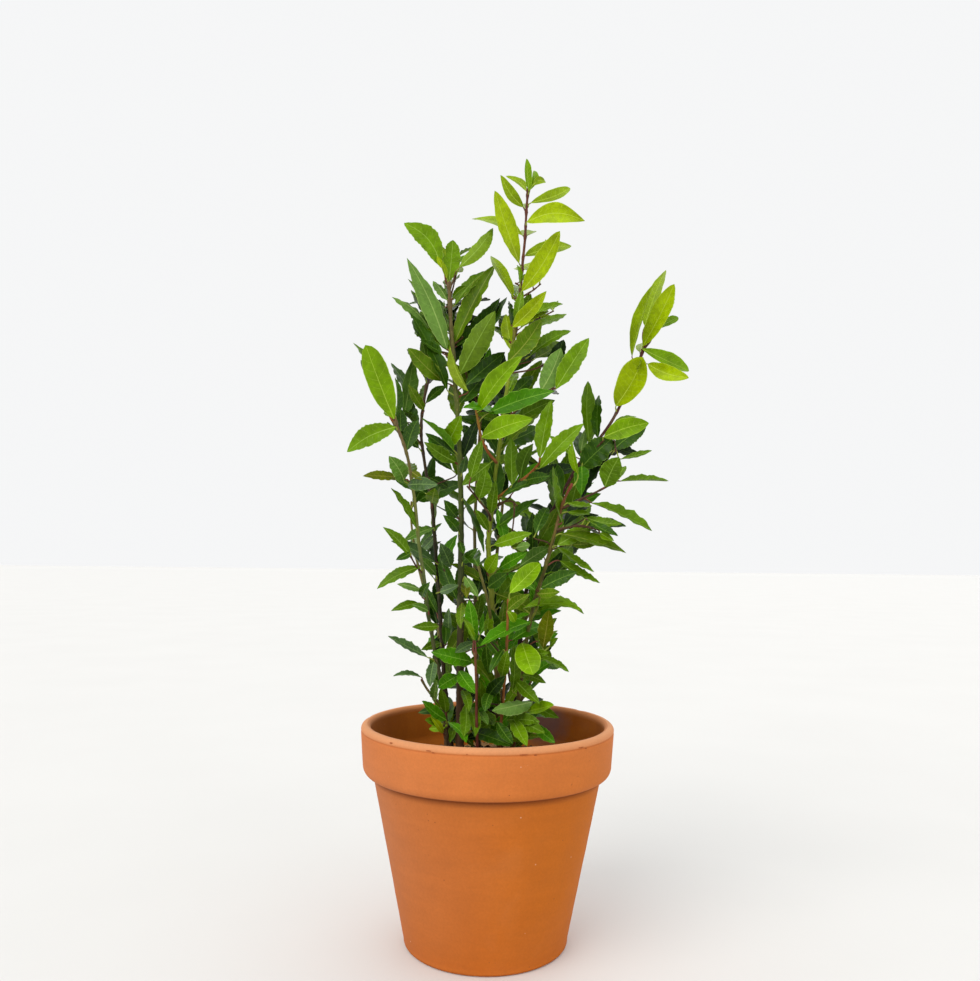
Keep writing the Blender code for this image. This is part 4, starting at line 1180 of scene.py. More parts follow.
def grown_leaf(host, s, azimuth, rise, length, tints, back_only, in_mass=1.15):
    """One leaf of the branching rule, or nothing where the crown is open."""
    p, d, r = host.at(s)
    e1 = unit(np.cross(d, [0.0, 1.0, 0.12]))
    e2 = np.cross(d, e1)
    out = math.cos(azimuth) * e1 + math.sin(azimuth) * e2
    way = unit(out * math.cos(rise) + d * math.sin(rise) + np.array([0, 0, 0.12]))
    stalk = rng.uniform(0.005, 0.009)
    foot = p + out * r * 0.7 + way * stalk
    tip = foot + way * length
    tip[2] -= length * rng.uniform(0.0, 0.16)
    samples = np.array([foot + (tip - foot) * k for k in (0.25, 0.5, 0.75, 1.0)])
    if covers_front(samples):
        return False
    cells = cells_of(pixel_of(foot + (tip - foot) * np.linspace(0.0, 1.0, 14)[:, None]))
    if (~CROWN[cells] & ~COVERED[cells]).mean() > 0.12:
        return False
    if tip[2] < 0.196 or not inside_box(tip) or not inside_box(samples[1]):
        return False
    for q in samples:
        if q[2] < 0.245 and math.hypot(q[0], q[1]) > 0.118:
            return False
    mass, how_far = mass_at(samples[2])
    if mass is None or how_far > in_mass:
        return False
    if in_window(samples, 1.5):
        return False
    if not free_of_others(samples[1], 0.011):
        return False
    up = unit(np.array([0.0, 0.0, 1.0]) * 0.9 + d * 0.5 - way * 0.1)
    n = unit(up - way * up.dot(way))
    roll = rng.gauss(0.0, 0.45)
    n = math.cos(roll) * n + math.sin(roll) * np.cross(way, n)
    width = length * rng.uniform(0.28, 0.36)
    tint = rng.choice(tints)
    foot_at, foot_way = leaf(foot, tip, n, width, tint, bow=rng.uniform(-0.01, 0.07), fold=rng.uniform(10, 28),
                             wave=rng.uniform(0.5, 1.1), twist=rng.uniform(-0.5, 0.5), blunt=rng.uniform(0.0, 0.25), fine=False)
    start, way0 = sit_on(host, s, out, r)
    petiole(start, way0, foot, way, 0.0008, "red" if rng.random() < 0.35 else "green")
    host.nodes.append(s)
    return True


def clothe(host, first, last, step, size, tints=None, back_only=True, rise=(0.45, 0.95), in_mass=1.15):
    """Leaves in a spiral up a limb."""
    s, turn, grown = first * host.length, rng.uniform(0, math.tau), 0
    while s < last * host.length:
        turn += math.radians(137.5) + rng.gauss(0, 0.15)
        p = host.at(s)[0]
        mass, _ = mass_at(p)
        t = tints or SPRAY_TINTS.get(mass, LOW_TINTS)
        for attempt in range(5):
            if grown_leaf(host, s, turn + attempt * 1.26, rng.uniform(*rise), rng.uniform(*size) * (1.0 - 0.06 * attempt), t, back_only, in_mass):
                grown += 1
                break
        s += step * rng.uniform(0.8, 1.2)
    return grown


SPRAYS = []


def spray(name, host, s, target, leaves_from=0.35, step=0.011, size=(0.048, 0.074), tints=None, back_only=True, bark="brown", r=0.0012):
    """A side shoot out of a limb with its own spiral of leaves and a tuft at its tip."""
    p, d, hr = host.at(s)
    way = unit(target - p)
    mid = p + (target - p) * 0.5 + np.array([0.0, 0.0, -0.10 * np.linalg.norm(target - p)]) * rng.uniform(0.3, 1.0)
    route = smooth_route([p, mid, target], 16)
    if in_window(route[6:], 3.0):
        return 0
    shoot = Limb(name, route, np.linspace(r, r * 0.6, 16), bark)
    LIMBS[name] = shoot
    SPRAYS.append(name)
    grown = clothe(shoot, leaves_from, 1.0, step, size, tints, back_only)
    for k in range(4):
        grown += grown_leaf(shoot, shoot.length * (0.97 + 0.01 * k), rng.uniform(0, math.tau), rng.uniform(0.7, 1.25),
                            rng.uniform(size[0] * 0.8, size[1] * 0.9), tints or LOW_TINTS, back_only)
    if not shoot.nodes:
        del LIMBS[name]
        SPRAYS.remove(name)
        return 0
    run = np.linspace(0.0, min(max(shoot.nodes) + 0.002, shoot.length), 16)
    short = Limb(name, np.array([shoot.at(v)[0] for v in run]), np.linspace(r, r * 0.6, 16), bark)
    short.nodes = shoot.nodes
    LIMBS[name] = short
    return grown


# stems and boughs carry leaves where they run through a mass
for name in MAIN_LIMBS:
    limb = LIMBS[name]
    behind = not name.startswith("bough_back") and name != "stem_back"
    clothe(limb, 0.06, 1.0, 0.0105 if name in ("stem_main", "stem_centre", "stem_right") else 0.011, (0.050, 0.078), None, behind)

# every mass is filled by a few side shoots from the limb nearest to it
for name in sorted(MASSES):
    lo, hi = MASSES[name]
    centre, half = (lo + hi) / 2, (hi - lo) / 2
    back = name.startswith("foliage_back")
    count = {"foliage_foot": 5}.get(name, 5 if back else 4)
    if name in ("foliage_tip_centre", "foliage_tip_main", "foliage_right_tip"):
        count = 2
    for k in range(count):
        aim = np.array([rng.uniform(-0.62, 0.62), rng.uniform(-0.5, 0.75) if back else rng.uniform(0.05, 0.8), rng.uniform(-0.45, 0.6)])
        target = centre + half * aim
        if target[2] < 0.205:
            target[2] = 0.205
        host, s, gap = None, 0.0, 9.0
        for limb_name in MAIN_LIMBS:
            limb = LIMBS[limb_name]
            at, g = limb.nearest(target)
            if limb.at(at)[0][2] <= target[2] + 0.02 and g < gap:
                host, s, gap = limb, at, g
        if host is None:
            continue
        s = max(0.012, s - gap * rng.uniform(0.5, 0.9))
        tints = SPRAY_TINTS.get(name, LOW_TINTS)
        tint = [rng.choice(tints), rng.choice(tints)]
        spray(f"spray_{name[8:]}_{k}", host, s, target, tints=tint, back_only=not back, size=(0.046, 0.072))
print("leading leaves", FRONT_COUNT, "all leaves", LEAF_COUNT, "sprays", len(SPRAYS))

# =============================================================================== bark
BARK_COLOURS = {
    # colour by the share of the limb's height
    "stem_main": ((0.06, (98, 70, 48)), (0.24, (62, 54, 30)), (0.42, (58, 68, 30)), (0.60, (84, 98, 36)), (0.80, (84, 88, 36)), (0.97, (104, 84, 54))),
    "stem_left": ((0.05, (84, 62, 46)), (0.42, (68, 78, 38)), (0.60, (92, 104, 50)), (0.80, (112, 112, 54)), (0.97, (106, 88, 56))),
    "stem_left_inner": ((0.05, (70, 50, 38)), (0.45, (40, 42, 22)), (0.95, (78, 58, 42))),
    "stem_centre": ((0.04, (88, 66, 38)), (0.22, (104, 96, 36)), (0.36, (126, 140, 34)), (0.70, (124, 138, 40)), (0.80, (92, 56, 36)), (0.95, (96, 52, 40))),
    "stem_right": ((0.05, (60, 40, 36)), (0.42, (62, 44, 38)), (0.95, (84, 42, 34))),
    "stem_right_front": ((0.05, (96, 66, 38)), (0.45, (84, 84, 30)), (0.80, (92, 84, 34)), (0.93, (104, 66, 36)), (0.99, (120, 56, 38))),
    "stem_back": ((0.05, (80, 60, 40)), (0.42, (98, 96, 50)), (0.95, (108, 84, 44))),
    "shoot_front": ((0.05, (86, 42, 32)), (0.45, (94, 44, 34)), (0.92, (104, 66, 36))),
    "shoot_right": ((0.05, (110, 70, 34)), (0.45, (128, 76, 34)), (0.92, (134, 84, 38))),
}


def bark_material(name, stops, z0, z1):
    n = Nodes(name, 0.55, 0.16)
    up = n.height(z0, z1)
    wobble = n.noise(26.0, 3.0, 0.5)
    at = n.maths("ADD", up, n.maths("MULTIPLY", n.maths("SUBTRACT", wobble, 0.5), 0.2), clamp=True)
    base = n.ramp(at, [(share, srgb(*colour)) for share, colour in stops])
    grain = n.noise(330.0, 5.0, 0.65, stretch=(1, 1, 0.16))
    blotch = n.noise(95.0, 4.0, 0.6, stretch=(1, 1, 0.5))
    base = n.mix(1.0, base, n.ramp(grain, [(0.32, 0.62), (0.60, 1.14)]), "MULTIPLY")
    base = n.mix(n.ramp(blotch, [(0.56, 0.0), (0.72, 0.22)]), base, srgb(146, 136, 104))
    lenticel = n.voronoi(260.0, stretch=(1, 1, 0.45))
    base = n.mix(n.ramp(lenticel, [(0.10, 0.40), (0.20, 0.0)]), base, srgb(160, 132, 86))
    normal = n.bump(grain, 0.5, 0.0006, n.bump(lenticel, 0.15, 0.0004))
    rough = n.maths("ADD", n.maths("MULTIPLY", grain, 0.25), 0.42)
    return n.done(base, rough, normal)


def trimmed(limb):
    """The limb as far as its last leaf, so that no bare end is left standing."""
    if not limb.nodes:
        return limb
    end = min(max(limb.nodes) + 0.002, limb.length)
    run = np.linspace(0.0, end, 24)
    short = Limb(limb.name, np.array([limb.at(v)[0] for v in run]), np.interp(run, limb.run, limb.radii), limb.tint)
    short.nodes = limb.nodes
    return short


def barked(limb, sides=14, step=0.0024):
    """A limb's fine mesh: slight kinks and swellings at its leaf scars, and long ridges in the bark."""
    count = max(12, int(limb.length / step))
    run = np.linspace(0.0, limb.length, count)
    pts = np.stack([np.interp(run, limb.run, limb.route[:, k]) for k in range(3)], -1)
    radii = np.interp(run, limb.run, limb.radii)
    seed = sum(map(ord, limb.name)) * 0.137
    for node in limb.nodes:
        radii = radii + 0.00042 * np.exp(-((run - node) / 0.0026) ** 2)
    sway = np.array([[noise.noise(Vector((r * 26.0, seed, k * 7.1))) for k in range(3)] for r in run])
    ease = np.clip(np.minimum(run, limb.length - run) / 0.05, 0, 1)[:, None]
    pts = pts + sway * 0.0010 * ease
    tangents = np.gradient(pts, axis=0)
    tangents /= np.linalg.norm(tangents, axis=1)[:, None]
    if limb.name in STEMS:
        tangents[0] = (0.0, 0.0, 1.0)
    side = unit(np.cross(tangents[0], [0.31, 0.74, 0.12]))
    angles = np.linspace(0, math.tau, sides, endpoint=False)
    rings = []
    for i, (p, t, r) in enumerate(zip(pts, tangents, radii)):
        side = unit(side - t * side.dot(t))
        up = np.cross(t, side)
        ridge = np.array([noise.noise(Vector((math.cos(a) * 2.2, math.sin(a) * 2.2, run[i] * 40.0 + seed))) for a in angles])
        rr = r * (1.0 + 0.075 * ridge)
        rings.append(p + rr[:, None] * (np.cos(angles)[:, None] * side + np.sin(angles)[:, None] * up))
    verts = np.concatenate(rings)
    n = len(verts)
    c = np.arange(sides)
    verts = np.vstack([verts, pts[0], pts[-1] + tangents[-1] * radii[-1] * 0.5])
    quads = np.vstack([
        grid_quads(count, sides, wrap=True),
        np.stack([(c + 1) % sides, c, np.full(sides, n), np.full(sides, n)], -1),
        np.stack([(count - 1) * sides + c, (count - 1) * sides + (c + 1) % sides, np.full(sides, n + 1), np.full(sides, n + 1)], -1),
    ])
    return verts, quads


def show(name, mesh, materials, nodes=()):
    for m in materials:
        mesh.materials.append(m)
    piece = bpy.data.objects.new(name, mesh)
    bpy.context.scene.collection.objects.link(piece)
    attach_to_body(piece, "root")
    if nodes:
        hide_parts(*nodes)
    return piece


for name in STEMS:
    limb = LIMBS[name]
    g = Gather()
    g.add(*barked(limb))
    show(name + "_bark", g.mesh(name + "_bark"), [bark_material("bark_" + name, BARK_COLOURS[name], SOIL_LEVEL, float(limb.route[-1, 2]))], (name,))

olive_bark = bark_material("bark_bough", ((0.05, (84, 72, 38)), (0.42, (104, 100, 46)), (0.95, (116, 90, 44))), 0.25, 0.62)
brown_bark = bark_material("bark_twig_brown", ((0.05, (66, 46, 32)), (0.42, (76, 52, 34)), (0.95, (88, 58, 36))), 0.2, 0.8)
orange_bark = bark_material("bark_twig_orange", ((0.42, (122, 92, 26)), (0.50, (138, 86, 34)), (0.56, (154, 84, 42)), (0.61, (138, 104, 32)), (0.68, (130, 66, 36))), 0.2, 0.8)
green_bark = bark_material("bark_twig_green", ((0.05, (98, 102, 34)), (0.42, (112, 116, 38)), (0.95, (118, 110, 42))), 0.2, 0.8)
g = Gather()
for name in BOUGHS:
    g.add(*barked(trimmed(LIMBS[name]), 12, 0.003))
show("boughs_bark", g.mesh("boughs_bark"), [olive_bark], tuple(BOUGHS))
for name in list(TWIGS) + SPRAYS:
    TWIG_GATHER[LIMBS[name].tint].add(*barked(LIMBS[name], 8, 0.004))
for key, mat in (("brown", brown_bark), ("orange", orange_bark), ("green", green_bark)):
    if TWIG_GATHER[key].n:
        show("twigs_" + key, TWIG_GATHER[key].mesh("twigs_" + key), [mat])


def stalk_material(name, colour):
    n = Nodes(name, 0.5)
    f = n.noise(160.0, 3.0, 0.5)
    base = n.ramp(f, [(0.3, scaled(colour, 0.78)), (0.7, scaled(colour, 1.18))])
    return n.done(base, None, n.bump(f, 0.2, 0.0004))


show("petioles_green", PETIOLES["green"].mesh("petioles_green"), [stalk_material("petiole_green", srgb(138, 150, 48))])
show("petioles_red", PETIOLES["red"].mesh("petioles_red"), [stalk_material("petiole_red", srgb(108, 54, 36))])

# =============================================================================== leaves shown
STANDS_FOR = {
    "lime": ("foliage_tip_centre", "foliage_right_tip"),
    "yellow_green": ("foliage_centre_high",),
    "bright": ("foliage_tip_main", "foliage_left_top", "foliage_centre_mid"),
    "mid": ("foliage_main_upper", "foliage_centre_upper", "foliage_right_mid", "foliage_foot", "foliage_left_low", "foliage_front", "foliage_main_mid"),
    "dark": ("foliage_right_upper", "foliage_back_left", "foliage_back_centre", "foliage_back_right", "foliage_centre_core", "foliage_right_low"),
    # the deep tint, painted shade, stands for the low masses at the back and centre
    "deep": ("foliage_back_low", "foliage_centre_low"),
    "olive": ("foliage_right_foot", "foliage_back_top"),
    "blue": ("foliage_left_mid", "foliage_left_low_mid", "foliage_left_foot"),
}
for key, gather in LEAVES.items():
    if gather.n:
        mesh = gather.mesh("leaves_" + key)
        show("leaves_" + key, mesh, list(LEAF_MATERIALS[key]), STANDS_FOR.get(key, ()))

# =============================================================================== pot
POT_HEIGHT, RIM, COLLAR = 0.2338, 0.140, 0.0528
COLLAR_FOOT, ROUND, BODY_TOP, BASE = 0.1372, 0.010, 0.1252, 0.0893
LIP, WALL, FLOOR = 0.0105, 0.0095, 0.012
collar_z = POT_HEIGHT - COLLAR
inner_rim = RIM - LIP


def arc(cr, cz, rr, rz, a0, a1, count):
    return [(cr + rr * math.cos(math.radians(a0 + (a1 - a0) * i / (count - 1))), cz + rz * math.sin(math.radians(a0 + (a1 - a0) * i / (count - 1)))) for i in range(count)]


def run_to(a, b, count):
    return [(a[0] + (b[0] - a[0]) * i / count, a[1] + (b[1] - a[1]) * i / count) for i in range(1, count + 1)]


profile = [(0.0, FLOOR), (0.03, FLOOR), (0.06, FLOOR), (BASE - WALL - 0.002, FLOOR), (BASE - WALL + 0.003, FLOOR + 0.003)]
profile += run_to(profile[-1], (BODY_TOP - WALL, collar_z - 0.004), 14)
profile += run_to(profile[-1], (inner_rim - 0.0022, collar_z + 0.012), 5)
profile += run_to(profile[-1], (inner_rim, POT_HEIGHT - 0.0048), 10)
profile += arc(inner_rim + LIP / 2, POT_HEIGHT - 0.0048, LIP / 2, 0.0048, 176, 4, 13)
profile += [(RIM - 0.00005, 0.2283), (RIM - 0.00045, 0.2276), (RIM - 0.00065, 0.2270), (RIM - 0.00045, 0.2263), (RIM - 0.00015, 0.2254)]
profile += run_to(profile[-1], (COLLAR_FOOT, collar_z + ROUND), 14)
profile += arc(COLLAR_FOOT - ROUND * 0.75, collar_z + ROUND, ROUND * 0.75, ROUND, -6, -84, 8)
profile += [(BODY_TOP + 0.0012, collar_z - 0.0001), (BODY_TOP - 0.0002, collar_z - 0.0004), (BODY_TOP - 0.0006, collar_z - 0.0016), (BODY_TOP + 0.0001, collar_z - 0.0036)]
INNER_ROWS = 5 + 14 + 5 + 10 + 5
base_edge = (BASE - 0.0002, 0.0042)
profile += run_to(profile[-1], base_edge, 44)
profile += arc(BASE - 0.004, 0.004, 0.004, 0.004, -10, -90, 5)
profile += [(0.07, 0.0), (0.03, 0.0), (0.0, 0.0)]
steps = 180
verts, cols = [], steps
for i, (r, z) in enumerate(profile):
    for k in range(steps):
        a = math.tau * k / steps
        rr, zz = r, z
        if r > 0.02 and 0.006 < z:
            ring = noise.noise(Vector((math.cos(a) * 0.7, math.sin(a) * 0.7, z * 46.0)))
            slow = noise.noise(Vector((math.cos(a) * 1.1 + 5.0, math.sin(a) * 1.1, z * 9.0)))
            fine = noise.noise(Vector((math.cos(a) * 9.0, math.sin(a) * 9.0, z * 70.0)))
            rr += 0.00022 * ring + 0.00040 * slow + 0.00010 * fine
            if z > POT_HEIGHT - 0.007:
                zz += 0.00035 * noise.noise(Vector((math.cos(a) * 2.3, math.sin(a) * 2.3, 3.0)))
        verts.append((rr * math.cos(a), rr * math.sin(a), zz))
verts = np.array(verts)
rows = len(profile)
# chips and knocks round the lip
for az, z, size, deep in ((-118, 0.2325, 0.0042, 0.0011), (-104, 0.2332, 0.0030, 0.0008), (-76, 0.2316, 0.0036, 0.0009), (-50, 0.2330, 0.0050, 0.0013),
                          (35, 0.2330, 0.0045, 0.0012), (120, 0.2326, 0.0036, 0.0010), (170, 0.2332, 0.0040, 0.0010)):
    c = np.array([0.1385 * math.cos(math.radians(az)), 0.1385 * math.sin(math.radians(az)), z])
    d = np.linalg.norm(verts - c, axis=1)
    push = deep * np.exp(-(d / size) ** 2)
    inward = np.stack([-verts[:, 0], -verts[:, 1], np.zeros(len(verts))], -1)
    inward /= np.maximum(np.linalg.norm(inward, axis=1), 1e-9)[:, None]
    verts = verts + inward * push[:, None] * 0.8 - np.array([0, 0, 1.0]) * push[:, None] * 0.5
g = Gather()
quads = grid_quads(rows, cols, wrap=True)
row_of = quads[:, 0] // cols
quads = quads[(row_of > 0) & (row_of < rows - 2)]
row_of = row_of[(row_of > 0) & (row_of < rows - 2)]
inner = np.where(row_of < INNER_ROWS, 1, 0)
for which in (0, 1):
    pass
c = np.arange(cols)
floor_fan = np.stack([np.full(cols, 0), (c + 1) % cols + cols, c + cols, c + cols], -1)[:, [0, 2, 1, 1]]
under_fan = np.stack([(rows - 2) * cols + c, (rows - 2) * cols + (c + 1) % cols, np.full(cols, (rows - 1) * cols), np.full(cols, (rows - 1) * cols)], -1)
g.v, g.f, g.m, g.n = [verts], [quads, floor_fan, under_fan], [inner.astype(np.int32), np.ones(cols, np.int32), np.zeros(cols, np.int32)], len(verts)
pot_mesh = g.mesh("pot_clay")
bm = bmesh.new()
bm.from_mesh(pot_mesh)
loose = [v for v in bm.verts if not v.link_faces]
bmesh.ops.delete(bm, geom=loose, context="VERTS")
bmesh.ops.recalc_face_normals(bm, faces=bm.faces)
bm.to_mesh(pot_mesh)
bm.free()


def terracotta(name, inside):
    n = Nodes(name, 0.75, 0.2)
    broad = n.noise(9.0, 4.0, 0.55, distortion=0.4)
    mid = n.noise(34.0, 5.0, 0.6)
    fine = n.noise(420.0, 4.0, 0.6)
    drag = n.noise(16.0, 4.0, 0.6, stretch=(1, 1, 9.0))
    if inside:
        base = n.ramp(broad, [(0.30, srgb(150, 78, 6)), (0.52, srgb(170, 92, 12)), (0.74, srgb(186, 106, 26))])
        base = n.mix(n.ramp(mid, [(0.54, 0.0), (0.74, 0.35)]), base, srgb(138, 84, 50))
        bloom = n.spot((0.0735, 0.1045, 0.216), 0.012, 0.040, n.noise(60.0, 4.0, 0.6))
        base = n.mix(bloom, base, srgb(132, 92, 82))
        base = n.mix(n.ramp(n.height(0.2262, 0.2338), [(0.0, 0.0), (0.6, 0.7), (1.0, 0.9)]), base, srgb(204, 132, 82))
    else:
        base = n.ramp(broad, [(0.26, srgb(184, 98, 26)), (0.50, srgb(190, 103, 32)), (0.74, srgb(197, 111, 44))])
        pale = n.ramp(n.noise(14.0, 5.0, 0.55, distortion=0.6), [(0.58, 0.0), (0.80, 0.28)])
        base = n.mix(pale, base, srgb(208, 132, 80))
        foot = n.ramp(n.height(0.0, 0.179), [(0.0, 1.0), (0.6, 0.55), (1.0, 0.25)])
        base = n.mix(n.maths("MULTIPLY", foot, 0.55), base, srgb(182, 93, 18))
        # paler, pinker patch on the left of the body: chalky bloom, and a painted highlight on the side the key light
        # falls on
        bloom_and_highlight_left = n.spot((-0.150, -0.040, 0.130), 0.050, 0.200, n.noise(12.0, 3.0, 0.5))
        base = n.mix(n.maths("MULTIPLY", bloom_and_highlight_left, 0.5), base, srgb(180, 115, 78))
        # deeper orange on the right of the body: painted shade of the side turned from the key light
        shaded_side_orange = n.spot((0.150, -0.040, 0.110), 0.030, 0.180, n.noise(12.0, 3.0, 0.5))
        base = n.mix(n.maths("MULTIPLY", shaded_side_orange, 0.8), base, srgb(189, 102, 6))
        collar = n.ramp(n.height(0.181, 0.2338), [(0.0, 0.0), (0.03, 0.55), (0.88, 0.75), (0.93, 1.0)])
        base = n.mix(n.maths("MULTIPLY", collar, 0.42), base, srgb(220, 133, 80))
        # paler band along the lip's top: painted highlight
        lip = n.ramp(n.height(0.2272, 0.2338), [(0.0, 0.0), (0.25, 0.6), (1.0, 1.0)])
        base = n.mix(n.maths("MULTIPLY", lip, 0.75), base, srgb(212, 154, 110))
        # thin darker line in the crease under the lip: painted shade
        crease_shade = n.ramp(n.height(0.2250, 0.2290), [(0.25, 0.0), (0.5, 0.4), (0.75, 0.0)])
        base = n.mix(crease_shade, base, srgb(168, 84, 36))
        shade = n.ramp(n.height(0.1725, 0.1812), [(0.0, 0.0), (0.55, 0.45), (0.85, 0.9), (1.0, 0.9)])
        under = n.ramp(n.height(0.1812, 0.1830), [(0.0, 1.0), (1.0, 0.0)])
        base = n.mix(n.maths("MULTIPLY", shade, under), base, srgb(112, 50, 18))
    base = n.mix(1.0, base, n.ramp(mid, [(0.30, 0.96), (0.70, 1.03)]), "MULTIPLY")
    base = n.mix(1.0, base, n.ramp(drag, [(0.34, 0.972), (0.66, 1.016)]), "MULTIPLY")
    base = n.mix(1.0, base, n.ramp(fine, [(0.34, 0.95), (0.66, 1.03)]), "MULTIPLY")
    dark_speck = n.voronoi(150.0)
    light_speck = n.voronoi(118.0)
    where = n.noise(34.0, 2.0, 0.5)
    base = n.mix(n.maths("MULTIPLY", n.ramp(dark_speck, [(0.06, 1.0), (0.13, 0.0)]), n.ramp(where, [(0.60, 0.0), (0.66, 0.7)])), base, srgb(112, 58, 34))
    base = n.mix(n.maths("MULTIPLY", n.ramp(light_speck, [(0.05, 1.0), (0.11, 0.0)]), n.ramp(where, [(0.30, 0.6), (0.36, 0.0)])), base, srgb(232, 196, 164))
    normal = n.bump(fine, 0.16, 0.0006, n.bump(drag, 0.12, 0.0010, n.bump(mid, 0.10, 0.0014)))
    rough = n.maths("ADD", n.maths("MULTIPLY", mid, 0.16), 0.66)
    return n.done(base, rough, normal)


clay, clay_inside = terracotta("terracotta_outside", False), terracotta("terracotta_inside", True)
pot = show("pot_clay", pot_mesh, [clay, clay_inside], ("pot",))
cutter_mesh = bpy.data.meshes.new("drain_cutters")
bm = bmesh.new()
for i in range(3):
    a = math.tau * (i + 0.25) / 3
    bmesh.ops.create_cone(bm, cap_ends=True, segments=32, radius1=0.007, radius2=0.007, depth=0.036,
                          matrix=Matrix.Translation((0.046 * math.cos(a), 0.046 * math.sin(a), 0.0)))
bm.to_mesh(cutter_mesh)
bm.free()
cutter = bpy.data.objects.new("drain_cutters", cutter_mesh)
bpy.context.scene.collection.objects.link(cutter)
cut = pot.modifiers.new("drains", "BOOLEAN")
cut.operation = "DIFFERENCE"
cut.solver = "EXACT"
cut.object = cutter
bpy.context.view_layer.update()
cut_mesh = bpy.data.meshes.new_from_object(pot.evaluated_get(bpy.context.evaluated_depsgraph_get()))
pot.modifiers.clear()
pot.data = cut_mesh
bpy.data.objects.remove(cutter, do_unlink=True)
pot.data.shade_smooth()

# knocks and kiln marks on the lip; the purplish bloom inside the back of the pot is in the inside clay's material
marks = Gather()
for az, high, wide, tall, out in ((-133.5, 0.2305, 0.0060, 0.0011, 0.00012), (-114.0, 0.2290, 0.0075, 0.0009, 0.0001), (-112.0, 0.2277, 0.0030, 0.0006, 0.0001),
                                  (-75.5, 0.2279, 0.0100, 0.0008, 0.0), (-70.5, 0.2268, 0.0036, 0.0010, 0.0), (-48.0, 0.2286, 0.0085, 0.0010, 0.0001),
                                  (-45.0, 0.2266, 0.0030, 0.0007, 0.0), (-98.0, 0.2284, 0.0028, 0.0006, 0.0), (20.0, 0.2284, 0.0080, 0.0010, 0.0001),
                                  (68.0, 0.2270, 0.0050, 0.0008, 0.0), (131.0, 0.2287, 0.0070, 0.0009, 0.0001), (178.0, 0.2274, 0.0060, 0.0008, 0.0)):
    rim, centre = [], None
    for k in range(12):
        a = math.tau * k / 12
        wobble = 1.0 + 0.35 * noise.noise(Vector((az, k * 0.9, 1.7)))
        angle = math.radians(az) + wide * 0.38 * math.cos(a) * wobble / RIM
        z = high + tall * 0.5 * math.sin(a) * wobble
        r = RIM + 0.0003 + out
        rim.append((r * math.cos(angle), r * math.sin(angle), z))
    mid_angle = math.radians(az)
    rim.append(((RIM + 0.00045) * math.cos(mid_angle), (RIM + 0.00045) * math.sin(mid_angle), high))
    back = [((RIM - 0.002) * x / math.hypot(x, y), (RIM - 0.002) * y / math.hypot(x, y), z) for x, y, z in rim[:12]]
    k = np.arange(12)
    faces = np.vstack([np.stack([k, (k + 1) % 12, np.full(12, 12), np.full(12, 12)], -1), np.stack([k + 13, (k + 1) % 12 + 13, (k + 1) % 12, k], -1)])
    marks.add(np.vstack([rim, back]), faces, 0)
n = Nodes("kiln_marks", 0.85, 0.2)
f = n.noise(900.0, 3.0, 0.6)
show("lip_marks", marks.mesh("lip_marks"), [n.done(n.ramp(f, [(0.35, srgb(142, 72, 36)), (0.65, srgb(176, 98, 54))]), None, n.bump(f, 0.4, 0.0003))])

# =============================================================================== compost
SOIL_FLAT, SOIL_DISH = 0.075, 0.003
g = Gather()
rings, spokes = 46, 132
edge = 0.1199
verts = [(0.0, 0.0, SOIL_LEVEL + 0.0004)]
for i in range(1, rings + 1):
    r = edge * i / rings
    for k in range(spokes):
        a = math.tau * k / spokes
        p = Vector((r * math.cos(a), r * math.sin(a), 0.0))
        fall = SOIL_DISH * max(0.0, (r - SOIL_FLAT) / (edge - SOIL_FLAT)) ** 1.4
        z = SOIL_LEVEL - fall + 0.0012 * noise.noise(p * 26) + 0.0016 * noise.noise(p * 90) + 0.0009 * noise.noise(p * 260)
        verts.append((p.x, p.y, z))
for k in range(spokes):  # down the pot's wall
    a = math.tau * k / spokes
    verts.append(((edge - 0.002) * math.cos(a), (edge - 0.002) * math.sin(a), SOIL_LEVEL - 0.012))
verts.append((0.0, 0.0, SOIL_LEVEL - 0.012))
c = np.arange(spokes)
fan = np.stack([np.zeros(spokes, int), 1 + c, 1 + (c + 1) % spokes, 1 + (c + 1) % spokes], -1)
body = grid_quads(rings + 1, spokes, wrap=True, flip=True) + 1
body = grid_quads(rings + 1, spokes, wrap=True)[:, [1, 0, 3, 2]] + 1
last = 1 + rings * spokes
under = np.stack([last + (c + 1) % spokes, last + c, np.full(spokes, len(verts) - 1), np.full(spokes, len(verts) - 1)], -1)
g.add(verts, np.vstack([fan, body, under]), 0)
low_mesh = bpy.data.meshes.new("crumb")
bm = bmesh.new()
bmesh.ops.create_icosphere(bm, subdivisions=1, radius=1.0)
bm.verts.ensure_lookup_table()
ico_v = np.array([v.co[:] for v in bm.verts])
ico_f = np.array([[v.index for v in f.verts] + [f.verts[2].index] for f in bm.faces])
bm.free()
soil_rng = random.Random(771)


def soil_z(x, y):
    r = math.hypot(x, y)
    p = Vector((x, y, 0.0))
    return SOIL_LEVEL - SOIL_DISH * max(0.0, (r - SOIL_FLAT) / (edge - SOIL_FLAT)) ** 1.4 + 0.0012 * noise.noise(p * 26) + 0.0016 * noise.noise(p * 90) + 0.0009 * noise.noise(p * 260)


for i in range(1500):
    r, a = 0.1155 * math.sqrt(soil_rng.random()), soil_rng.uniform(0, math.tau)
    x, y = r * math.cos(a), r * math.sin(a)
    size = soil_rng.uniform(0.0008, 0.0026) if soil_rng.random() < 0.9 else soil_rng.uniform(0.0026, 0.0042)
    turn = np.array(Matrix.Rotation(soil_rng.uniform(0, 6.28), 3, "Z") @ Matrix.Rotation(soil_rng.uniform(0, 6.28), 3, "X"))
    shape = ico_v * np.array([size, size * soil_rng.uniform(0.55, 1.0), size * soil_rng.uniform(0.4, 0.8)]) * (1 + 0.25 * np.array([[soil_rng.uniform(-1, 1)] for _ in ico_v]))
    what = 0 if soil_rng.random() < 0.80 else (1 if soil_rng.random() < 0.85 else 3)
    if what == 3:
        shape *= 0.75
    g.add(shape @ turn.T + np.array([x, y, soil_z(x, y) + size * 0.25]), ico_f, what)
